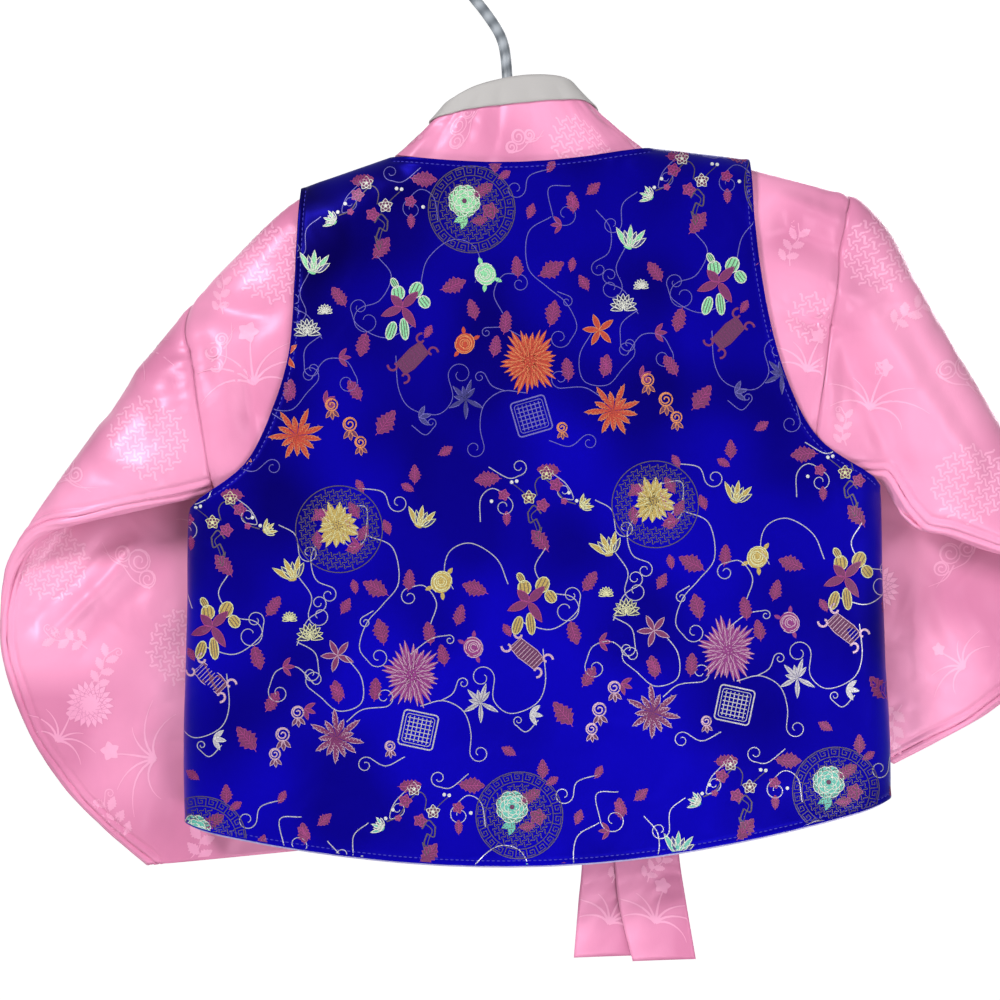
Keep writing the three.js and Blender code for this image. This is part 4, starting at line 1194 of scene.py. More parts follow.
def looped_head(f, x, z, size, angle, rim):
    """A flower seen from the side: two fans of curled petals, drawn as loops."""
    for fan, (count, reach, low, high) in enumerate(((9, 0.5, -12, 192), (6, 0.32, 10, 170))):
        for k in range(count):
            a = angle + math.radians(low + (high - low) * k / (count - 1))
            p = turned(petal(reach * size, 0.24 * size, -0.35, 8), a, 1, (x, z - 0.12 * size))
            f.fill(p, "navy", 2 * fan)
            f.stroke(p, 0.44, rim, 2 * fan + 1, closed=True)


def peony(f, x, z, size, angle, body, rim):
    """Three rings of round petals, each with a light rim."""
    for ring, count, reach in ((0, 8, 0.5), (1, 6, 0.34), (2, 4, 0.2)):
        for k in range(count):
            a = angle + 2 * math.pi * (k + 0.4 * ring) / count
            at = turned([(reach * size * 0.45, 0)], a, 1, (x, z))[0]
            p = turned(arc(0, 0, size * (0.21 - 0.045 * ring), -120, 120, 8), a, 1, at)
            f.fill(p, body, 2 * ring)
            f.stroke(p, 0.45, rim, 2 * ring + 1)
    f.fill(arc(x, z, 0.07 * size, 0, 300, 6), "wine", 6)


def rosette(f, x, z, radius, angle, colour, width):
    """A closed coil of thread: a full ring that winds on to its middle."""
    a = np.linspace(0, 5 * math.pi, 34)
    r = radius * (1 - 0.8 * (np.maximum(a - 2 * math.pi, 0) / (3 * math.pi)))
    f.stroke(np.stack([x + r * np.cos(angle + a), z + r * np.sin(angle + a)], -1), width, colour, 1)


def curl_bud(f, x, z, size, angle, body, rim):
    rosette(f, x, z, 0.36 * size, angle, rim, 0.75)
    for turn in (-2.2, -1.5, -0.8):
        p = turned(petal(0.6 * size, 0.22 * size, 0.2), turn, 1, (x, z - 0.3 * size))
        f.fill(p, body, 0)
        f.stroke(p, 0.36, rim, 1, closed=True)


def fret_band(f, x, z, inner, outer, colour, count):
    """Squared spirals between two rings, as on a round key border."""
    f.stroke(arc(x, z, inner, 0, 352.5, 48), 0.42, colour, 1, closed=True)
    f.stroke(arc(x, z, outer, 0, 352.5, 48), 0.5, colour, 1, closed=True)
    key = np.array([
        (0.08, 0), (0.08, 0.86), (0.86, 0.86), (0.86, 0.26), (0.42, 0.26), (0.42, 0.58), (0.62, 0.58),
    ])
    radius = inner + (outer - inner) * (0.06 + 0.9 * key[:, 1])
    for k in range(count):
        a = 2 * math.pi * (k + key[:, 0] * 0.92) / count
        f.stroke(np.stack([x + radius * np.cos(a), z + radius * np.sin(a)], -1), 0.5, colour, 1)


def lattice_disc(f, x, z, inner, outer, pitch, colour, angle=0.0, width=0.45):
    """A meander lattice cut to a ring: short bars, each turned against the next."""
    n = int(outer / pitch) + 1
    for i in range(-n, n + 1):
        for j in range(-n, n + 1):
            cx, cz = i * pitch, j * pitch
            r = math.hypot(cx, cz)
            if not inner + pitch * 0.5 < r < outer - pitch * 0.6:
                continue
            a = pitch * 0.8
            if (i + j) % 2:
                bars = [[(-a, 0), (a, 0)], [(a, 0), (a, a * 0.62)], [(-a, 0), (-a, -a * 0.62)]]
            else:
                bars = [[(0, -a), (0, a)], [(0, a), (-a * 0.62, a)], [(0, -a), (a * 0.62, -a)]]
            for bar in bars:
                f.stroke(turned(np.array(bar) * 0.62 + (cx, cz), angle, 1, (x, z)), width, colour, 1)


def roundel(f, x, z, size, kind, line, sets):
    """A disc of fret with a flower head in it; the peony's has a key border as well."""
    r = size / 2
    bud, bud_rim = sets["bud"], sets["bud_rim"]
    if kind == "peony":
        fret_band(f, x, z, 0.78 * r, r, line, 22)
        lattice_disc(f, x, z, 0.0, 0.78 * r, 2.5, line)
        serrated_leaf(f, x + 0.28 * r, z + 0.44 * r, 0.5 * r, 0.5)
        blossom(f, x + 0.42 * r, z - 0.05 * r, 0.2 * r, 5, "magenta", "rose")
        serrated_leaf(f, x + 0.18 * r, z - 0.26 * r, 0.36 * r, 0.1)
        peony(f, x - 0.16 * r, z + 0.2 * r, 0.86 * r, 0.4, bud, bud_rim)
        for turn in (3.6, 4.3):
            f.fill(turned(petal(0.34 * r, 0.15 * r, 0.2), turn, 1, (x - 0.12 * r, z - 0.14 * r)), bud, 1)
    else:
        f.stroke(arc(x, z, r, 0, 352.5, 48), 0.5, line, 1, closed=True)
        lattice_disc(f, x, z, 0.5 * r, r, 2.5, line)
        for turn in (0.9, 2.5, 3.6, 5.4, 6.1):
            leaf_x, leaf_z = x + 0.56 * r * math.cos(turn), z + 0.56 * r * math.sin(turn)
            serrated_leaf(f, leaf_x, leaf_z, 0.4 * r, turn + 1.2)
        chrysanthemum(f, x - 0.04 * r, z + 0.08 * r, 0.98 * r, 0.3, bud, bud_rim, "bronze", DISC_HEAD_RINGS)


# x, z, width, height and turn of each lobe, as shares of the figure's size
LOBES = (
    (-0.07, 0.26, 0.24, 0.26, 0.1), (-0.13, 0.44, 0.12, 0.2, 0.5), (0.26, 0.3, 0.24, 0.3, -0.5),
    (0.4, 0.08, 0.2, 0.24, 0.6), (-0.22, -0.42, 0.18, 0.34, -0.35), (0.02, -0.4, 0.16, 0.4, 0.08),
)


def butterfly(f, x, z, size, angle, body, rim):
    """A ribbon-tied gourd and butterfly figure: striped lobes on crossed leaves."""
    for lobe_x, lobe_z, width, height, turn in LOBES:
        lobe = turned(arc(0, 0, 0.5, 0, 330, 12) * (width, height), turn, 1, (lobe_x, lobe_z))
        p = turned(lobe, angle, size, (x, z))
        f.fill(p, body, 1)
        f.stroke(p, 0.5, rim, 3, closed=True)
        for k in (-0.28, 0.0, 0.28):
            stripe = [(k * width, -0.4 * height), (k * width, 0.4 * height)]
            stripe = turned(stripe, turn, 1, (lobe_x, lobe_z))
            f.stroke(turned(stripe, angle, size, (x, z)), 0.45, "bronze", 2)
    for turn, reach in ((0.75, 0.4), (3.5, 0.42), (5.25, 0.44), (2.3, 0.3)):
        p = turned(turned(petal(reach, 0.155, 0.1), turn), angle, size, (x, z))
        f.fill(p, "magenta", 4)
        f.stroke(p, 0.36, "rose", 5, closed=True)


def scroll_case(f, x, z, size, angle, body, rim):
    """A rolled scroll tied with a ribbon: a ribbed block with curled ends."""
    block = [(-0.3, -0.13), (-0.1, -0.17), (0.3, -0.15), (0.34, 0.12), (0.1, 0.16), (-0.28, 0.14)]
    block = turned(block, angle, size, (x, z))
    f.fill(block, body, 0)
    f.stroke(block, 0.45, rim, 2, closed=True)
    for k in np.linspace(-0.24, 0.28, 9):
        f.stroke(turned([(k, -0.13), (k + 0.02, 0.13)], angle, size, (x, z)), 0.36, rim, 1)
    for sx, sz, turn in ((-0.34, 0.14, 2.2), (-0.34, -0.16, 3.8), (0.38, 0.14, 0.6), (0.36, -0.18, -0.8)):
        t = np.linspace(0, 1, 12)
        a, r = turn + 4.5 * t, 0.11 * (1 - 0.6 * t)
        curl = np.stack([sx + r * np.cos(a), sz + r * np.sin(a)], -1)
        f.stroke(turned(curl, angle, size, (x, z)), 1.3, rim, 1)


def lattice_square(f, x, z, size, angle, line):
    """A rounded square filled with a plain lattice."""
    h = size / 2
    corners = [(h * 0.8, h * 0.8), (-h * 0.8, h * 0.8), (-h * 0.8, -h * 0.8), (h * 0.8, -h * 0.8)]
    rim = np.concatenate([arc(cx, cz, 0.2 * h, 90 * k, 90 * k + 90, 5) for k, (cx, cz) in enumerate(corners)])
    f.stroke(turned(rim, angle, 1, (x, z)), 0.8, line, 1, closed=True)
    f.stroke(turned(rim * 0.82, angle, 1, (x, z)), 0.4, line, 1, closed=True)
    for k in np.linspace(-0.6, 0.6, 6):
        f.stroke(turned([(k * h, -0.72 * h), (k * h, 0.72 * h)], angle, 1, (x, z)), 0.5, line, 1)
        f.stroke(turned([(-0.72 * h, k * h), (0.72 * h, k * h)], angle, 1, (x, z)), 0.5, line, 1)


def tendril(f, points, colour, width=0.5, curl=0.0, turns=1.15):
    """A thin scroll line through a few points, ending in a spiral of radius curl."""
    line = flow(points, 7)
    if curl:
        run = line[-1] - line[-2]
        heading = math.atan2(run[1], run[0])
        sign = math.copysign(1, curl)
        t = np.linspace(0, 1, 26)[1:]
        radius = abs(curl) * (1 - 0.72 * t)
        a = heading - sign * math.pi / 2 + sign * turns * 2 * math.pi * t
        centre = line[-1] + abs(curl) * np.array([-math.sin(heading), math.cos(heading)]) * sign
        line = np.concatenate([line, centre + radius[:, None] * np.stack([np.cos(a), np.sin(a)], -1)])
    f.stroke(line, width, colour, 0, taper=0.25)


def plum_sprig(f, x, z, s, mirror, sets):
    """A gnarled plum twig with open blossoms, closed ones and buds."""
    def q(px, pz):
        return x + mirror * px * s, z + pz * s

    tendril(f, [q(-16, -9), q(-9, -6), q(-3, 2), q(4, 8), q(8, 4), q(7, -3)], "bronze", 0.7)
    tendril(f, [q(9, -7), q(16, 0), q(22, 5)], "bronze", 0.5)
    knots = ((5, -14, 9, -9, 13, -13), (13, -13, 12, -19, 8, -17), (8, -17, 6, -23, 9, -26),
             (9, -26, 7, -30, 5, -22))
    for knot in knots:
        tendril(f, [q(*knot[k:k + 2]) for k in (0, 2, 4)], "bronze", 0.9)
    tendril(f, [q(7, -11), q(11, -15), q(9, -20), q(7, -27)], "bronze", 0.5)
    for px, pz, r in ((1, 10, 4.3), (12, -4, 4.3)):
        blossom(f, *q(px, pz), r * s, 5, "wine", sets["bud_rim"], sets["bud_rim"], 0.3)
    for px, pz, r in ((-4.5, 3, 4.2), (4, -9, 4.2), (27, -2, 3.6), (-9, -7, 2.0)):
        blossom(f, *q(px, pz), r * s, 5, "magenta", "rose")
    for px, pz in ((-12, -2), (-16.5, -7), (19, 6), (22, 5.5), (34.5, -5.5)):
        f.fill(arc(*q(px, pz), 1.1 * s, 0, 315, 8), "white", 1)


# The brocade repeats in units. Each row of one unit: figure, x, z and size in mm, angle in degrees.
UNIT_WIDTH = 190.0
ROW_DROP = 182.0
WEFT_TILT = math.radians(2.5)  # the weft runs up to the right
DISC_SHIFT = 64  # the disc stands this much further along in a mirrored unit
UNIT_FIGURES = [
    ("leaf", -94, -12, 13, 5), ("leaf", -57, -13, 15, -4), ("peony_disc", -29.5, -32, 52, 0),
    ("plum", -93, -24, 1.0, 0), ("small_bud", -114, -35, 9, 60), ("lily_bud", -124, -60.5, 16, -15),
    ("leaf", -84, -53, 15, 52), ("leaf", -111, -81, 13, 125), ("butterfly", -73, -89, 33, 0),
    ("peony_small", -130.5, -100, 16, 0), ("peony_small", -119.5, -89, 9, 1), ("leaf", -97.5, -111, 14, -105),
    ("sprout", -112, -118, 12, 0), ("scroll", -68.5, -120, 32, 42), ("leaf", -41.5, -77, 15, 20),
    ("rose_bud", -22.5, -71, 16, 30), ("leaf", -3.5, -67, 12, 95), ("leaf", 17.5, -69.5, 16, 28),
    ("leaf", -31, -91.5, 12, 105), ("leaf", -11.5, -100, 13, 82), ("leaf", 17, -95.5, 15, 78),
    ("leaf", -18, -114, 12, 80), ("round_bud", -36.5, -112, 15, 150), ("big_flower", 2, -124, 35, 10),
    ("bamboo", -37, -145.5, 24, 0), ("bamboo_small", -65.5, -155.5, 13, 12), ("square", 2, -157, 21, 14),
    ("leaf", -103.5, -137.5, 13, 122), ("leaf", -85, -157.5, 17, 52), ("leaf", 24.5, -129.5, 13, 95),
    ("curl", -117.5, -146, 10, 30), ("curl", -107, -158, 11, 10), ("curl", -101, -169, 9, 40),
    ("star", 51, -155.5, 35, 15), ("star_small", 44.5, -107, 17, 30), ("lotus_leaf", 47.5, -128, 13, 80),
    ("curl_small", 20, -164.5, 8, 0), ("leaf_small", 19, -7.5, 8, 60), ("lotus_leaf", 31, -29.5, 12, 95),
    ("sprout", 24, -43, 11, 180), ("leaf_small", 29.5, -67, 8, 80), ("drop", -14.5, -4.5, 11, 90),
    ("leaf_small", -9, -12, 8, 30), ("leaf_small", -66, -37.5, 8, 90), ("sprout", 68, -136, 12, 25),
    ("second_bud", -16, -31, 15, 20), ("leaf_small", -58, -104, 8, 60), ("drop", 44, -22, 10, 40),
    ("leaf_small", 6, -34, 9, 70), ("leaf_small", -50, -176, 9, 30), ("drop", 36, -78, 10, 120),
]
# Scroll lines of one unit: spiral radius at the end (its sign is the way it turns), then its points.
UNIT_TENDRILS = [
    (-5, [(-59, -6), (-70, -14), (-78, -13)]), (4.5, [(-96, -14), (-104, -22), (-107, -31), (-101, -30)]),
    (9, [(-87, -58), (-79, -70), (-86, -84), (-97, -88)]),
    (-5.5, [(-66, -100), (-84, -107), (-100, -99), (-104, -90)]),
    (0, [(-62, -77), (-57, -61), (-43, -50), (-30, -53), (-25, -65), (-29, -76)]),
    (-6, [(20, -9), (6, -13), (3, -22)]), (8, [(30, -20), (17, -21), (19, -38)]),
    (-6.5, [(18, -38), (4, -47), (3, -68), (14, -80), (25, -90), (31, -104), (26, -114)]),
    (-5.5, [(-13, -95), (-18, -83), (-12, -72), (-2, -72)]), (3, [(2, -112), (-12, -104), (-23, -103)]),
    (-6.5, [(-129, -130), (-120, -119), (-108, -120), (-102, -130)]),
    (-7.5, [(-78, -118), (-77, -138), (-70, -150), (-54, -154), (-45, -145), (-47, -132)]),
    (-6, [(-1, -143), (-15, -141.5), (-26, -149), (-29, -162), (-27, -174)]),
    (3.5, [(-13, -141.5), (-21, -138), (-25, -131)]),
    (-6, [(44, -147), (34, -141), (20, -141)]),
    (3, [(-70, -160), (-62, -166), (-56, -161)]), (-3.5, [(20, -83), (27, -86)]),
    (6, [(40, -108), (32, -122), (34, -137), (48, -140), (58, -130), (64, -124)]),
    (-5, [(68, -98), (60, -84), (50, -79)]), (6, [(-50, -38), (-52, -24), (-60, -19), (-69, -26)]),
    (-7, [(-128, -66), (-134, -78), (-131, -88)]), (5, [(45, -35), (53, -46), (52, -60), (43, -66)]),
    (-6, [(70, -25), (61, -32), (60, -44)]), (5, [(-122, -104), (-132, -112), (-133, -124)]),
    (-5, [(12, -172), (24, -176), (33, -170)]),
]
UPPER = {
    "bud": "green", "bud_rim": "cream", "flower": "orange", "flower_rim": "apricot", "line": "lilac",
    "star": "orange", "star_rim": "apricot", "bamboo": "dusk", "bamboo_rim": "lilac", "square": "lilac",
    "disc": "bronze", "scroll": "wine", "scroll_rim": "magenta", "curl": "apricot", "line_width": 0.42,
}
LOWER = {
    "bud": "yellow", "bud_rim": "straw", "flower": "orchid", "flower_rim": "blush", "line": "silver",
    "star": "magenta", "star_rim": "blush", "bamboo": "silver", "bamboo_rim": "white", "square": "silver",
    "disc": "bronze", "scroll": "wine", "scroll_rim": "blush", "curl": "blush", "line_width": 0.56,
}
THIRD = dict(LOWER, bud="teal", bud_rim="cream")
LEAVES = ("leaf", "leaf_small", "drop", "lotus_leaf")
STAR_LEAVES = (10, 95, 170, 235, 300)
# upright figures: what draws each one, and the colours of the row that it takes
UPRIGHT = {
    "small_bud": (lily_bud, "bud", "bud_rim"), "lily_bud": (lily_bud, "bud", "bud_rim"),
    "second_bud": (lily_bud, "bud", "bud_rim"), "butterfly": (butterfly, "bud", "bud_rim"),
    "peony_small": (looped_head, "bud_rim"), "bamboo_small": (sprout, "bamboo", "bamboo_rim"),
    "rose_bud": (rose_bud, "bud", "bud_rim"), "round_bud": (rose_bud, "flower", "flower_rim"),
    "big_flower": (chrysanthemum, "flower", "flower_rim", "star_rim"),
    "bamboo": (bamboo_star, "bamboo", "bamboo_rim"), "square": (lattice_square, "square"),
    "star": (star_flower, "star", "star_rim"),
}


def draw_figure(f, kind, x, z, size, degrees, mirror, sets, disc):
    """One figure of a unit. A mirrored unit turns its leaves and scrolls over, and leans the rest the
    other way."""
    over = math.radians(degrees if mirror > 0 else 180 - degrees)
    upright = math.radians(degrees * mirror)
    if kind in UPRIGHT:
        draw, *parts = UPRIGHT[kind]
        draw(f, x, z, size, upright, *(sets[part] for part in parts))
    elif kind in LEAVES:
        serrated_leaf(f, x, z, size, over)
        if kind == "lotus_leaf":
            serrated_leaf(f, x, z, size * 0.8, over + 0.7)
    elif kind == "peony_disc":
        roundel(f, x, z, size, disc, sets["disc"], sets)
    elif kind == "plum":
        plum_sprig(f, x, z, size, mirror, sets)
    elif kind == "sprout":
        sprout(f, x, z, size, upright, "magenta", "rose")
    elif kind == "scroll":
        scroll_case(f, x, z, size, over, sets["scroll"], sets["scroll_rim"])
    elif kind in ("curl", "curl_small"):
        curl_bud(f, x, z, size, upright, "wine", sets["curl"])
    elif kind == "star_small":
        sprout(f, x, z, size, upright, sets["star"], sets["star_rim"], STAR_LEAVES)


def draw_unit(f, at_x, at_z, mirror, sets, disc):
    def place(x, z):
        (ux, uz), = turned([(x, z)], -WEFT_TILT)
        (px, pz), = turned([(mirror * ux, uz)], WEFT_TILT, 1, (at_x, at_z))
        return px, pz

    for kind, x, z, size, degrees in UNIT_FIGURES:
        if kind == "second_bud" and mirror > 0:
            continue
        if kind == "peony_disc" and mirror < 0:
            x = x + DISC_SHIFT
        draw_figure(f, kind, *place(x, z), size, degrees, mirror, sets, disc)
    for curl, points in UNIT_TENDRILS:
        tendril(f, [place(*p) for p in points], sets["line"], sets["line_width"], curl * mirror)


def brocade():
    """The whole length of brocade that the vest is cut from, laid out over its flat x, z."""
    f = Figures()
    for row, (sets, disc) in enumerate(((UPPER, "peony"), (LOWER, "chrysanthemum"), (THIRD, "peony"))):
        mirror = -1 if row % 2 else 1
        shift = 3 - UNIT_WIDTH / 2 if row % 2 else 0.0
        for column in range(-2, 3):
            (x, z), = turned([(column * UNIT_WIDTH + shift, -row * ROW_DROP)], WEFT_TILT)
            draw_unit(f, x, z, mirror, sets, disc)
    return f.arrays()


def thread_material(name, colour, roughness, metal):
    """Floats of coloured thread on the satin ground, ridged along their length: painted shade in the
    hollows between them and painted highlight on their crests.
    """
    material, tree, shader = new_material(name)
    flat = node(tree, "ShaderNodeUVMap", {"uv_map": "flat_cut"})
    grain = node(tree, "ShaderNodeMapping", links={"Vector": flat.outputs[0]},
                 values={"Scale": (1000 / 0.9, 1000 / 0.5, 1)})
    floats = node(tree, "ShaderNodeTexNoise", links={"Vector": grain.outputs[0]},
                  values={"Scale": 1.0, "Detail": 1.0})
    *middle, _ = linear(colour)
    # painted shade in the hollows between floats and painted highlight on their crests
    painted_hollow_shade = [c * 0.1 for c in middle] + [1.0]
    painted_crest_highlight = [min(1.0, c * 1.5) for c in middle] + [1.0]
    tone = node(tree, "ShaderNodeMix", {"data_type": "RGBA"}, {"Factor": floats.outputs["Fac"]},
                {COLOUR_A: painted_hollow_shade, COLOUR_B: painted_crest_highlight})
    tree.links.new(tone.outputs[MIXED], shader.inputs["Base Color"])
    height = node(tree, "ShaderNodeBump", links={"Height": floats.outputs["Fac"]},
                  values={"Strength": 0.35, "Distance": 0.3 * MM})
    tree.links.new(height.outputs[0], shader.inputs["Normal"])
    shader.inputs["Roughness"].default_value = roughness
    shader.inputs["Metallic"].default_value = metal
    return material


thread_materials = {key: thread_material(f"thread_{key}", *row) for key, row in THREADS.items()}


def woven(name, figures, cloth, wall, inside, materials, lift=0.14, step=0.07):
    """Lays flat figures on a cloth's outer side: lift is the lowest layer's height over it and step
    that of each next layer, in mm. inside(x, z) gives the nearest point of the piece."""
    tris, colours, layers = figures
    low, high = inside.box
    near = ((tris[..., 0].max(1) > low[0]) & (tris[..., 0].min(1) < high[0])
            & (tris[..., 1].max(1) > low[1]) & (tris[..., 1].min(1) < high[1]))
    tris, colours, layers = tris[near], colours[near], layers[near]
    x, z, moved = inside(tris[..., 0], tris[..., 1])
    keep = ~moved.all(axis=1)
    x, z, colours, layers = x[keep], z[keep], colours[keep], layers[keep]
    area = (x[:, 1] - x[:, 0]) * (z[:, 2] - z[:, 0]) - (x[:, 2] - x[:, 0]) * (z[:, 1] - z[:, 0])
    keep = np.abs(area) > 1e-4
    x, z, colours, layers, area = x[keep], z[keep], colours[keep], layers[keep], area[keep]
    height = wall / 2 + lift + step * layers
    points = cloth.at(x.ravel(), z.ravel(), np.repeat(height, 3)) + GARMENT_AT
    faces = np.arange(len(points)).reshape(-1, 3)
    flip = area * cloth.face > 0
    faces[flip] = faces[flip][:, ::-1]
    mesh = bpy.data.meshes.new(name)
    mesh.from_pydata((points * MM).tolist(), [], faces.tolist())
    uv = mesh.uv_layers.new(name="flat_cut")
    flat = np.stack([x.ravel(), z.ravel()], -1) * MM
    uv.data.foreach_set("uv", flat[faces.ravel()].ravel())
    used = sorted(set(colours.tolist()))
    for index in used:
        mesh.materials.append(materials[PALETTE[index]])
    mesh.polygons.foreach_set("material_index", np.searchsorted(used, colours))
    piece = bpy.data.objects.new(name, mesh)
    bpy.context.scene.collection.objects.link(piece)
    return piece


class Region:
    """Where a piece's figures may lie: points outside are moved to its edge."""

    def __init__(self, box, limit):
        self.box, self.limit = box, limit

    def __call__(self, x, z):
        nx, nz = self.limit(x, z)
        moved = (np.abs(nx - x) > 1e-6) | (np.abs(nz - z) > 1e-6)
        return nx, nz, moved


EDGE_IN = 0.9  # figures stop this far inside an edge


def vest_region(face, sign):
    """A vest panel's extent; sign 0 is the whole back."""
    def limit(x, z):
        z = np.clip(z, vest_hem_at(x, face) + EDGE_IN, vest_top_z(x) - EDGE_IN)
        low, high = -vest_edge[-1](z) + EDGE_IN, vest_edge[1](z) - EDGE_IN
        if sign < 0:
            high = vest_opening[-1](z) - EDGE_IN
        elif sign > 0:
            low = vest_opening[1](z) + EDGE_IN
        return np.clip(x, low, high), z

    low_x = 30 if sign > 0 else -216
    high_x = -15 if sign < 0 else 216
    return Region(((low_x, -430), (high_x, 6)), limit)


# cloth, face, side of the front, and name of each vest panel
VEST_PANELS = (
    (vest_back_cloth, -1, 0, "back"), (vest_front_cloth, 1, -1, "front_left"),
    (vest_front_cloth, 1, 1, "front_right"),
)
brocade_figures = brocade()
for cloth, face, sign, label in VEST_PANELS:
    piece = woven(f"vest_{label}_brocade", brocade_figures, cloth, VEST_WALL, vest_region(face, sign),
                  thread_materials)
    settle(piece, "blue_brocade")


# ---- stitches ------------------------------------------------------------------------------------
STITCH_SIZES = {"Pitch": 3.1, "Stitch Length": 2.2, "Thread Width": 0.55}
STITCH_LIFT = 0.12  # the middle of the thread over the cloth's face
sewing_thread = plain("blue_sewing_thread", "#332cae", 0.45)


def running_stitch_tree():
    """Short beads of thread along the lines of a mesh, one pitch from each other."""
    tree = bpy.data.node_groups.new("running_stitch", "GeometryNodeTree")
    tree.interface.new_socket(name="Seam Line", in_out="INPUT", socket_type="NodeSocketGeometry")
    for size in STITCH_SIZES:
        tree.interface.new_socket(name=size, in_out="INPUT", socket_type="NodeSocketFloat")
    tree.interface.new_socket(name="Stitches", in_out="OUTPUT", socket_type="NodeSocketGeometry")
    given = node(tree, "NodeGroupInput")
    line = node(tree, "GeometryNodeMeshToCurve", links={"Mesh": given.outputs["Seam Line"]})
    points = node(tree, "GeometryNodeResampleCurve", {"mode": "LENGTH"},
                  {"Curve": line.outputs[0], "Length": given.outputs["Pitch"]})
    tangent = node(tree, "GeometryNodeInputTangent")
    along = node(tree, "FunctionNodeAlignRotationToVector", {"axis": "X"}, {"Vector": tangent.outputs[0]})
    bead = node(tree, "GeometryNodeMeshUVSphere", values={"Segments": 6, "Rings": 4, "Radius": 0.5})
    width = given.outputs["Thread Width"]
    size = node(tree, "ShaderNodeCombineXYZ",
                links={"X": given.outputs["Stitch Length"], "Y": width, "Z": width})
    beads = node(tree, "GeometryNodeInstanceOnPoints",
                 links={"Points": points.outputs[0], "Instance": bead.outputs[0],
                        "Rotation": along.outputs[0], "Scale": size.outputs[0]})
    solid = node(tree, "GeometryNodeRealizeInstances", links={"Geometry": beads.outputs[0]})
    thread = node(tree, "GeometryNodeSetMaterial", values={"Material": sewing_thread},
                  links={"Geometry": solid.outputs[0]})
    node(tree, "NodeGroupOutput", links={"Stitches": thread.outputs[0]})
    return tree


running_stitch = running_stitch_tree()


def sewn(name, cloth, lines):
    """The stitches of one vest panel, from the flat lines that they follow."""
    places, edges = [], []
    for line in lines:
        on_cloth = cloth.at(line[:, 0], line[:, 1], VEST_WALL / 2 + STITCH_LIFT) + GARMENT_AT
        edges += [(len(places) + k, len(places) + k + 1) for k in range(len(line) - 1)]
        places += (on_cloth * MM).tolist()
    seam_lines = bpy.data.meshes.new(f"{name}_lines")
    seam_lines.from_pydata(places, edges, [])
    piece = bpy.data.objects.new(name, seam_lines)
    bpy.context.scene.collection.objects.link(piece)
    sewing = piece.modifiers.new("running_stitch", "NODES")
    sewing.node_group = running_stitch
    for socket in running_stitch.interface.items_tree:
        if socket.name in STITCH_SIZES:
            sewing[socket.identifier] = STITCH_SIZES[socket.name] * MM
    dressed = piece.evaluated_get(bpy.context.evaluated_depsgraph_get())
    stitches = bpy.data.meshes.new_from_object(dressed)
    piece.modifiers.clear()
    piece.data = stitches
    bpy.data.meshes.remove(seam_lines)
    stitches.name = name
    return piece


def armhole_line(sign):
    """The stitch line inside one armhole."""
    z = np.linspace(VEST_TIP_Z[sign] - 2, -202.5, 90)
    line = np.stack([vest_edge[sign](z), z], -1)
    run = np.gradient(line, axis=0)
    run /= np.linalg.norm(run, axis=1, keepdims=True)
    return (line + STITCH_IN * np.stack([run[:, 1], -run[:, 0]], -1)) * (sign, 1)


def vest_seam_lines(face, sign):
    """The stitch lines of one panel: hem, armholes and neck or front edge. sign 0 is the whole back."""
    low = -EDGE_AT[-1] if sign <= 0 else float(vest_opening[1](VEST_CORNER_Z)) + STITCH_IN
    high = EDGE_AT[1] if sign >= 0 else float(vest_opening[-1](VEST_CORNER_Z)) - STITCH_IN
    x = np.linspace(low, high, 300)
    lines = [np.stack([x, vest_hem_at(x, face) + STITCH_IN], -1)]
    lines += [armhole_line(s) for s in ((sign,) if sign else (-1, 1))]
    if sign:
        z = np.linspace(VEST_NECK_Z - 3, VEST_CORNER_Z - 2, 120)
        lines.append(np.stack([vest_opening[sign](z) + sign * STITCH_IN, z], -1))
    else:
        x = np.linspace(VEST_NECK_X[-1] + 2, VEST_NECK_X[1] - 2, 80)
        lines.append(np.stack([x, vest_top_z(x) - STITCH_IN], -1))
    return lines


for cloth, face, sign, label in VEST_PANELS:
    settle(sewn(f"vest_{label}_stitches", cloth, vest_seam_lines(face, sign)), "blue_brocade")


# ---- tone-on-tone damask of the jacket -------------------------------------------------------------


def orchid(f, x, z, size, angle):
    """Long leaves that arch out of one root, with a small flower."""
    for turn, reach in ((-62, 0.8), (-40, 1.0), (-18, 0.8), (6, 1.05), (30, 0.9), (54, 1.0), (76, 0.7)):
        t = np.linspace(0, 1, 9)
        bend = math.radians(turn) * (0.7 + 0.9 * t)
        leaf = reach * np.stack([t * np.sin(bend), t * np.cos(bend) * (1 - 0.25 * t)], -1)
        f.stroke(turned(leaf, angle, size, (x, z)), 1.7, "pearl", 1, taper=0.85)
    (flower_x, flower_z), = turned([(0.1, 0.75)], angle, size, (x, z))
    blossom(f, flower_x, flower_z, 0.16 * size, 5, "pearl", "pearl")


def leaf_spray(f, x, z, size, angle):
    """A twig with small leaves on both sides and a bud."""
    twig = turned([(-0.9, -0.2), (-0.3, 0.1), (0.4, 0.0), (0.9, 0.3)], angle, size, (x, z))
    tendril(f, twig, "pearl", 0.7, 0.18 * size)
    for at, turn in ((-0.6, 0.9), (-0.45, -0.9), (-0.1, 1.1), (0.1, -0.8), (0.45, 0.9), (0.7, -0.6)):
        (leaf_x, leaf_z), = turned([(at, 0.1 + 0.22 * math.copysign(1, turn))], angle, size, (x, z))
        serrated_leaf(f, leaf_x, leaf_z, 0.55 * size, angle + turn, "pearl", "pearl")


CLOUD_TAILS = (
    [(-0.62, -0.1), (-0.2, -0.26), (0.3, -0.2), (0.8, -0.34)],
    [(0.1, -0.14), (0.5, -0.3), (0.95, -0.2)],
)


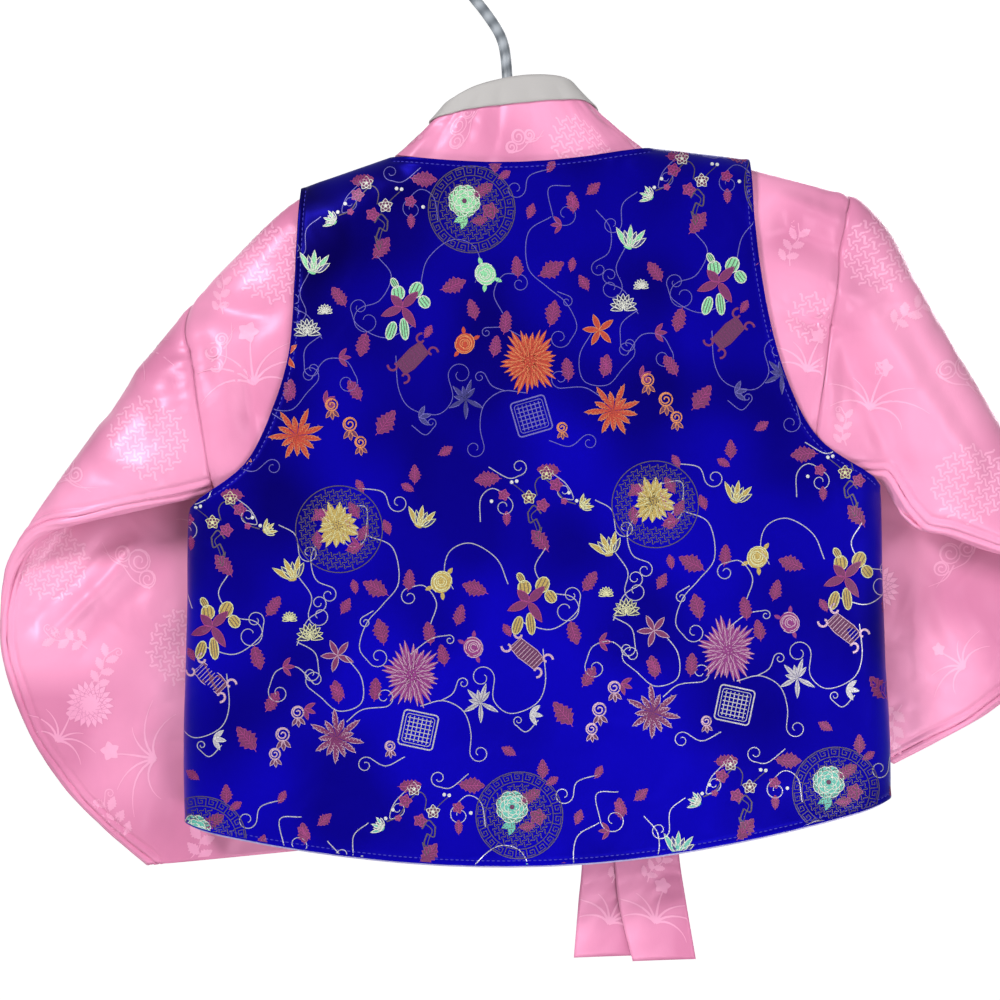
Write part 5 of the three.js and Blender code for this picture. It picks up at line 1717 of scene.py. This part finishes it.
def clouds(f, x, z, size, angle):
    """Drifting cloud lines: three linked coils on a long tail."""
    for coil_x, coil_z, radius in ((-0.42, 0.0, 0.2), (0.0, 0.16, 0.26), (0.4, -0.02, 0.18)):
        (at_x, at_z), = turned([(coil_x, coil_z)], angle, size, (x, z))
        rosette(f, at_x, at_z, radius * size, angle, "pearl", 0.9)
    for tail in CLOUD_TAILS:
        f.stroke(flow(turned(tail, angle, size, (x, z))), 1.1, "pearl", 1, taper=0.8)


def fret_disc(f, x, z, size, angle):
    lattice_disc(f, x, z, 0.0, size / 2, 4.3, "pearl", angle, 1.15)


def damask_head(f, x, z, size, angle):
    """A chrysanthemum head in two rings of outlined petals, with a twig beside it."""
    for reach, count, wide in ((1.0, 20, 0.17), (0.62, 13, 0.2)):
        for k in range(count):
            turn = angle + 2 * math.pi * k / count
            p = turned(petal(size / 2 * reach, wide * size, 0.1, 6), turn, 1, (x, z))
            f.fill(p, "pearl", 0)
            f.stroke(p[2:8], 0.34, "deep_pink", 1)
    leaf_spray(f, x + 0.7 * size, z + 0.4 * size, 0.5 * size, angle + 0.6)


DAMASK_FIGURES = {"fret_disc": fret_disc, "orchid": orchid, "spray": leaf_spray, "clouds": clouds,
                  "chrysanthemum": damask_head}

# Damask figures by cut piece: figure, x, z, size, angle in degrees, flat mm of that piece.
# Sleeves have x out from the garment's middle on either side; both faces have the same rows.
SLEEVE_DAMASK = {
    "left": [
        ("fret_disc", 228, -163, 51, 4), ("orchid", 245, -112, 40, 20), ("spray", 300, -100, 15, -30),
        ("spray", 268, -70, 13, 40), ("clouds", 282, -182, 24, 10), ("orchid", 222, -74, 30, -30),
        ("fret_disc", 338, -201, 51, 4), ("fret_disc", 408, -132, 51, 4), ("chrysanthemum", 428, -197, 30, 0),
        ("clouds", 353, -150, 26, 30), ("spray", 387, -203, 15, 70), ("orchid", 352, -104, 34, 10),
        ("orchid", 470, -165, 38, 150), ("spray", 500, -200, 17, 20), ("fret_disc", 478, -88, 51, 4),
        ("spray", 522, -150, 18, -20), ("clouds", 505, -118, 24, 60), ("spray", 538, -92, 13, 30),
        ("orchid", 446, -222, 26, 40),
    ],
    "right": [
        ("fret_disc", 215, -66, 51, 4), ("fret_disc", 264, -207, 51, 4), ("spray", 232, -104, 15, 30),
        ("orchid", 206, -160, 34, -10), ("clouds", 262, -142, 26, -20), ("spray", 286, -96, 14, 60),
        ("orchid", 312, -170, 36, 30), ("spray", 190, -170, 12, 80), ("fret_disc", 352, -108, 51, 4),
        ("chrysanthemum", 421, -159, 30, 0), ("clouds", 380, -190, 24, 20), ("orchid", 433, -232, 26, 10),
        ("spray", 488, -217, 17, -30), ("fret_disc", 470, -120, 51, 4), ("orchid", 505, -170, 34, 160),
        ("spray", 400, -92, 15, 10), ("spray", 520, -110, 15, -40),
    ],
}
BODY_DAMASK = [
    ("fret_disc", -150, -60, 51, 4), ("orchid", -164, -132, 42, 12), ("spray", -180, -78, 12, 70),
    ("clouds", -184, -112, 20, 80), ("orchid", 168, -136, 30, -14), ("fret_disc", 172, -104, 34, 4),
    ("spray", 164, -60, 14, 60), ("orchid", -196, -330, 40, 10), ("orchid", 190, -320, 40, -10),
    ("fret_disc", 5, -262, 51, 4), ("orchid", 12, -345, 34, 0), ("spray", 0, -205, 15, 20),
    ("clouds", 8, -368, 22, 0), ("spray", -95, -30, 15, 50), ("orchid", 100, -60, 30, 10),
]
BAND_DAMASK = [
    ("clouds", 262, 24, 24, 80), ("fret_disc", 336, 6, 46, 4), ("spray", 215, 16, 14, 20),
    ("clouds", 300, 14, 16, 30), ("orchid", 385, 2, 30, -70), ("fret_disc", 450, 14, 46, 4),
    ("spray", 500, 18, 16, 10), ("clouds", 180, 16, 22, 0), ("fret_disc", 120, 14, 46, 4),
    ("orchid", 60, 6, 28, 60), ("spray", 30, 20, 14, 0), ("spray", 535, 14, 14, 30),
]
TAIL_DAMASK = [
    ("clouds", 20, -232, 22, 10), ("fret_disc", 22, -290, 36, 4), ("spray", 18, -345, 14, 60),
    ("orchid", 22, -410, 30, 8), ("orchid", 20, -470, 32, -12), ("spray", 26, -436, 12, 40),
]


def damask(rows, sign=1):
    f = Figures()
    for kind, x, z, size, degrees in rows:
        DAMASK_FIGURES[kind](f, sign * x, z, size, math.radians(sign * degrees))
    return f.arrays()


def sleeve_region(side):
    """One sleeve between its two seams and its cuff."""
    c, s = math.cos(side.slope), math.sin(side.slope)

    def limit(x, z):
        out, rise = side.sign * x - side.seam_top[0], z - side.seam_top[1]
        along = np.clip(out * c - rise * s, 2.5, SLEEVE_LENGTH - 2)
        down = np.clip(-out * s - rise * c, 2.5, side.width(along) - 4)
        out, z = side.sleeve_point(along, down)
        return side.sign * out, z

    return Region(((-600, -300), (600, 10)), limit)


def body_region(low_x, high_x):
    """The jacket's body between two edges, each an x for every z."""
    def limit(x, z):
        z = np.clip(z, JACKET_HEM_Z + 2, shoulder_z(x) - 3)
        return np.clip(x, low_x(z) + 2, high_x(z) - 2), z

    return Region(((-230, -400), (230, 10)), limit)


def seam_at(side):
    return lambda z: side.sign * np.interp(z, [JACKET_HEM_Z, side.armpit[1], side.seam_top[1]],
                                           [side.armpit[0] + 3, side.armpit[0], side.seam_top[0]])


def front_edge_at(sign):
    edge = through(FRONT_EDGE[:, 0], FRONT_EDGE[:, 1 if sign < 0 else 2])
    return lambda z: sign * edge(z)


damask_threads = dict(thread_materials, pearl=pink_float, deep_pink=pink_outline)


def lay_damask(name, rows, cloth, region, wall=JACKET_WALL, sign=1):
    piece = woven(name, damask(rows, sign), cloth, wall, region, damask_threads, lift=0.12, step=0.04)
    settle(piece, "pink_satin")


for side, label in ((LEFT, "left"), (RIGHT, "right")):
    for face, where in ((-1, "back"), (1, "front")):
        lay_damask(f"sleeve_{label}_{where}_damask", SLEEVE_DAMASK[label], sleeve_cloth(face),
                   sleeve_region(side), sign=side.sign)
lay_damask("jacket_back_damask", BODY_DAMASK, jacket_back_cloth, body_region(seam_at(LEFT), seam_at(RIGHT)))
lay_damask("jacket_front_left_damask", BODY_DAMASK, left_front_cloth,
           body_region(seam_at(LEFT), front_edge_at(-1)))
lay_damask("jacket_front_right_damask", BODY_DAMASK, right_front_cloth,
           body_region(front_edge_at(1), seam_at(RIGHT)))


def on_band(x, z):
    return np.clip(x, 3, BAND_LENGTH - 3), np.clip(z, 1, BAND_DEPTH - STRIP_COVERS - 1.5)


def on_tail(x, z):
    return np.clip(x, 1, TAIL_WIDTH - 1), np.clip(z, -486, -200)


lay_damask("collar_band_damask", BAND_DAMASK, band_cloth,
           Region(((0, 0), (BAND_LENGTH, BAND_DEPTH)), on_band), BAND_WALL)
for label, cloth in tail_cloths.items():
    lay_damask(f"ribbon_tail_{label}_damask", TAIL_DAMASK, cloth,
               Region(((0, -500), (TAIL_WIDTH, -190)), on_tail), RIBBON_WALL)


# ---- camera and light ----------------------------------------------------------------------------
CAMERA_DISTANCE = 1.5
camera_data = bpy.data.cameras.new("camera")
camera_data.lens = 90
camera_data.sensor_width = 36
camera = bpy.data.objects.new("camera", camera_data)
camera.location = (-0.0126, -CAMERA_DISTANCE - 0.015, -0.3382)
camera.rotation_euler = (math.radians(90), math.radians(2.0), 0)
bpy.context.scene.collection.objects.link(camera)
bpy.context.scene.camera = camera
bpy.context.scene.view_settings.view_transform = "Standard"

world = bpy.data.worlds.new("studio")
bpy.context.scene.world = world
world.use_nodes = True
world.node_tree.nodes["Background"].inputs[0].default_value = (1, 1, 1, 1)
world.node_tree.nodes["Background"].inputs[1].default_value = 0.3


def area_light(name, place, target, size, power):
    data = bpy.data.lights.new(name, "AREA")
    data.energy = power
    data.size = size
    lamp = bpy.data.objects.new(name, data)
    lamp.location = place
    direction = np.array(target) - np.array(place)
    yaw = math.atan2(-direction[0], direction[1])
    pitch = math.atan2(direction[2], math.hypot(direction[0], direction[1]))
    lamp.rotation_euler = (math.radians(90) + pitch, 0, yaw)
    bpy.context.scene.collection.objects.link(lamp)


# place and target in m, width in m, power in W
area_light("key", (-0.95, -1.25, 0.6), (0, 0, -0.33), 0.45, 26)
area_light("fill", (1.1, -1.3, -0.1), (0, 0, -0.35), 0.8, 9)
area_light("low_fill", (0.35, -1.2, -1.15), (0.05, 0, -0.56), 0.5, 7.5)
area_light("front_side_fill", (0.6, 1.5, 0.4), (0, 0, -0.3), 1.2, 16)


def stage_plane(name, corners, finish):
    mesh = bpy.data.meshes.new(name)
    mesh.from_pydata(corners, [], [(0, 1, 2, 3)])
    mesh.materials.append(finish)
    plane = bpy.data.objects.new(name, mesh)
    bpy.context.scene.collection.objects.link(plane)


FLOOR_Z = -1.35
stage_plane("floor", [(-4, -4, FLOOR_Z), (4, -4, FLOOR_Z), (4, 2.4, FLOOR_Z), (-4, 2.4, FLOOR_Z)],
            plain("pale_floor", "#f4f4f2", 0.9))
backdrop = plain("white_paper_backdrop", "#ffffff", 0.9)
backdrop.node_tree.nodes["Principled BSDF"].inputs["Emission Color"].default_value = (1, 1, 1, 1)
backdrop.node_tree.nodes["Principled BSDF"].inputs["Emission Strength"].default_value = 0.75
stage_plane("backdrop", [(-7, 9, -5), (7, 9, -5), (7, 9, 6), (-7, 9, 6)], backdrop)
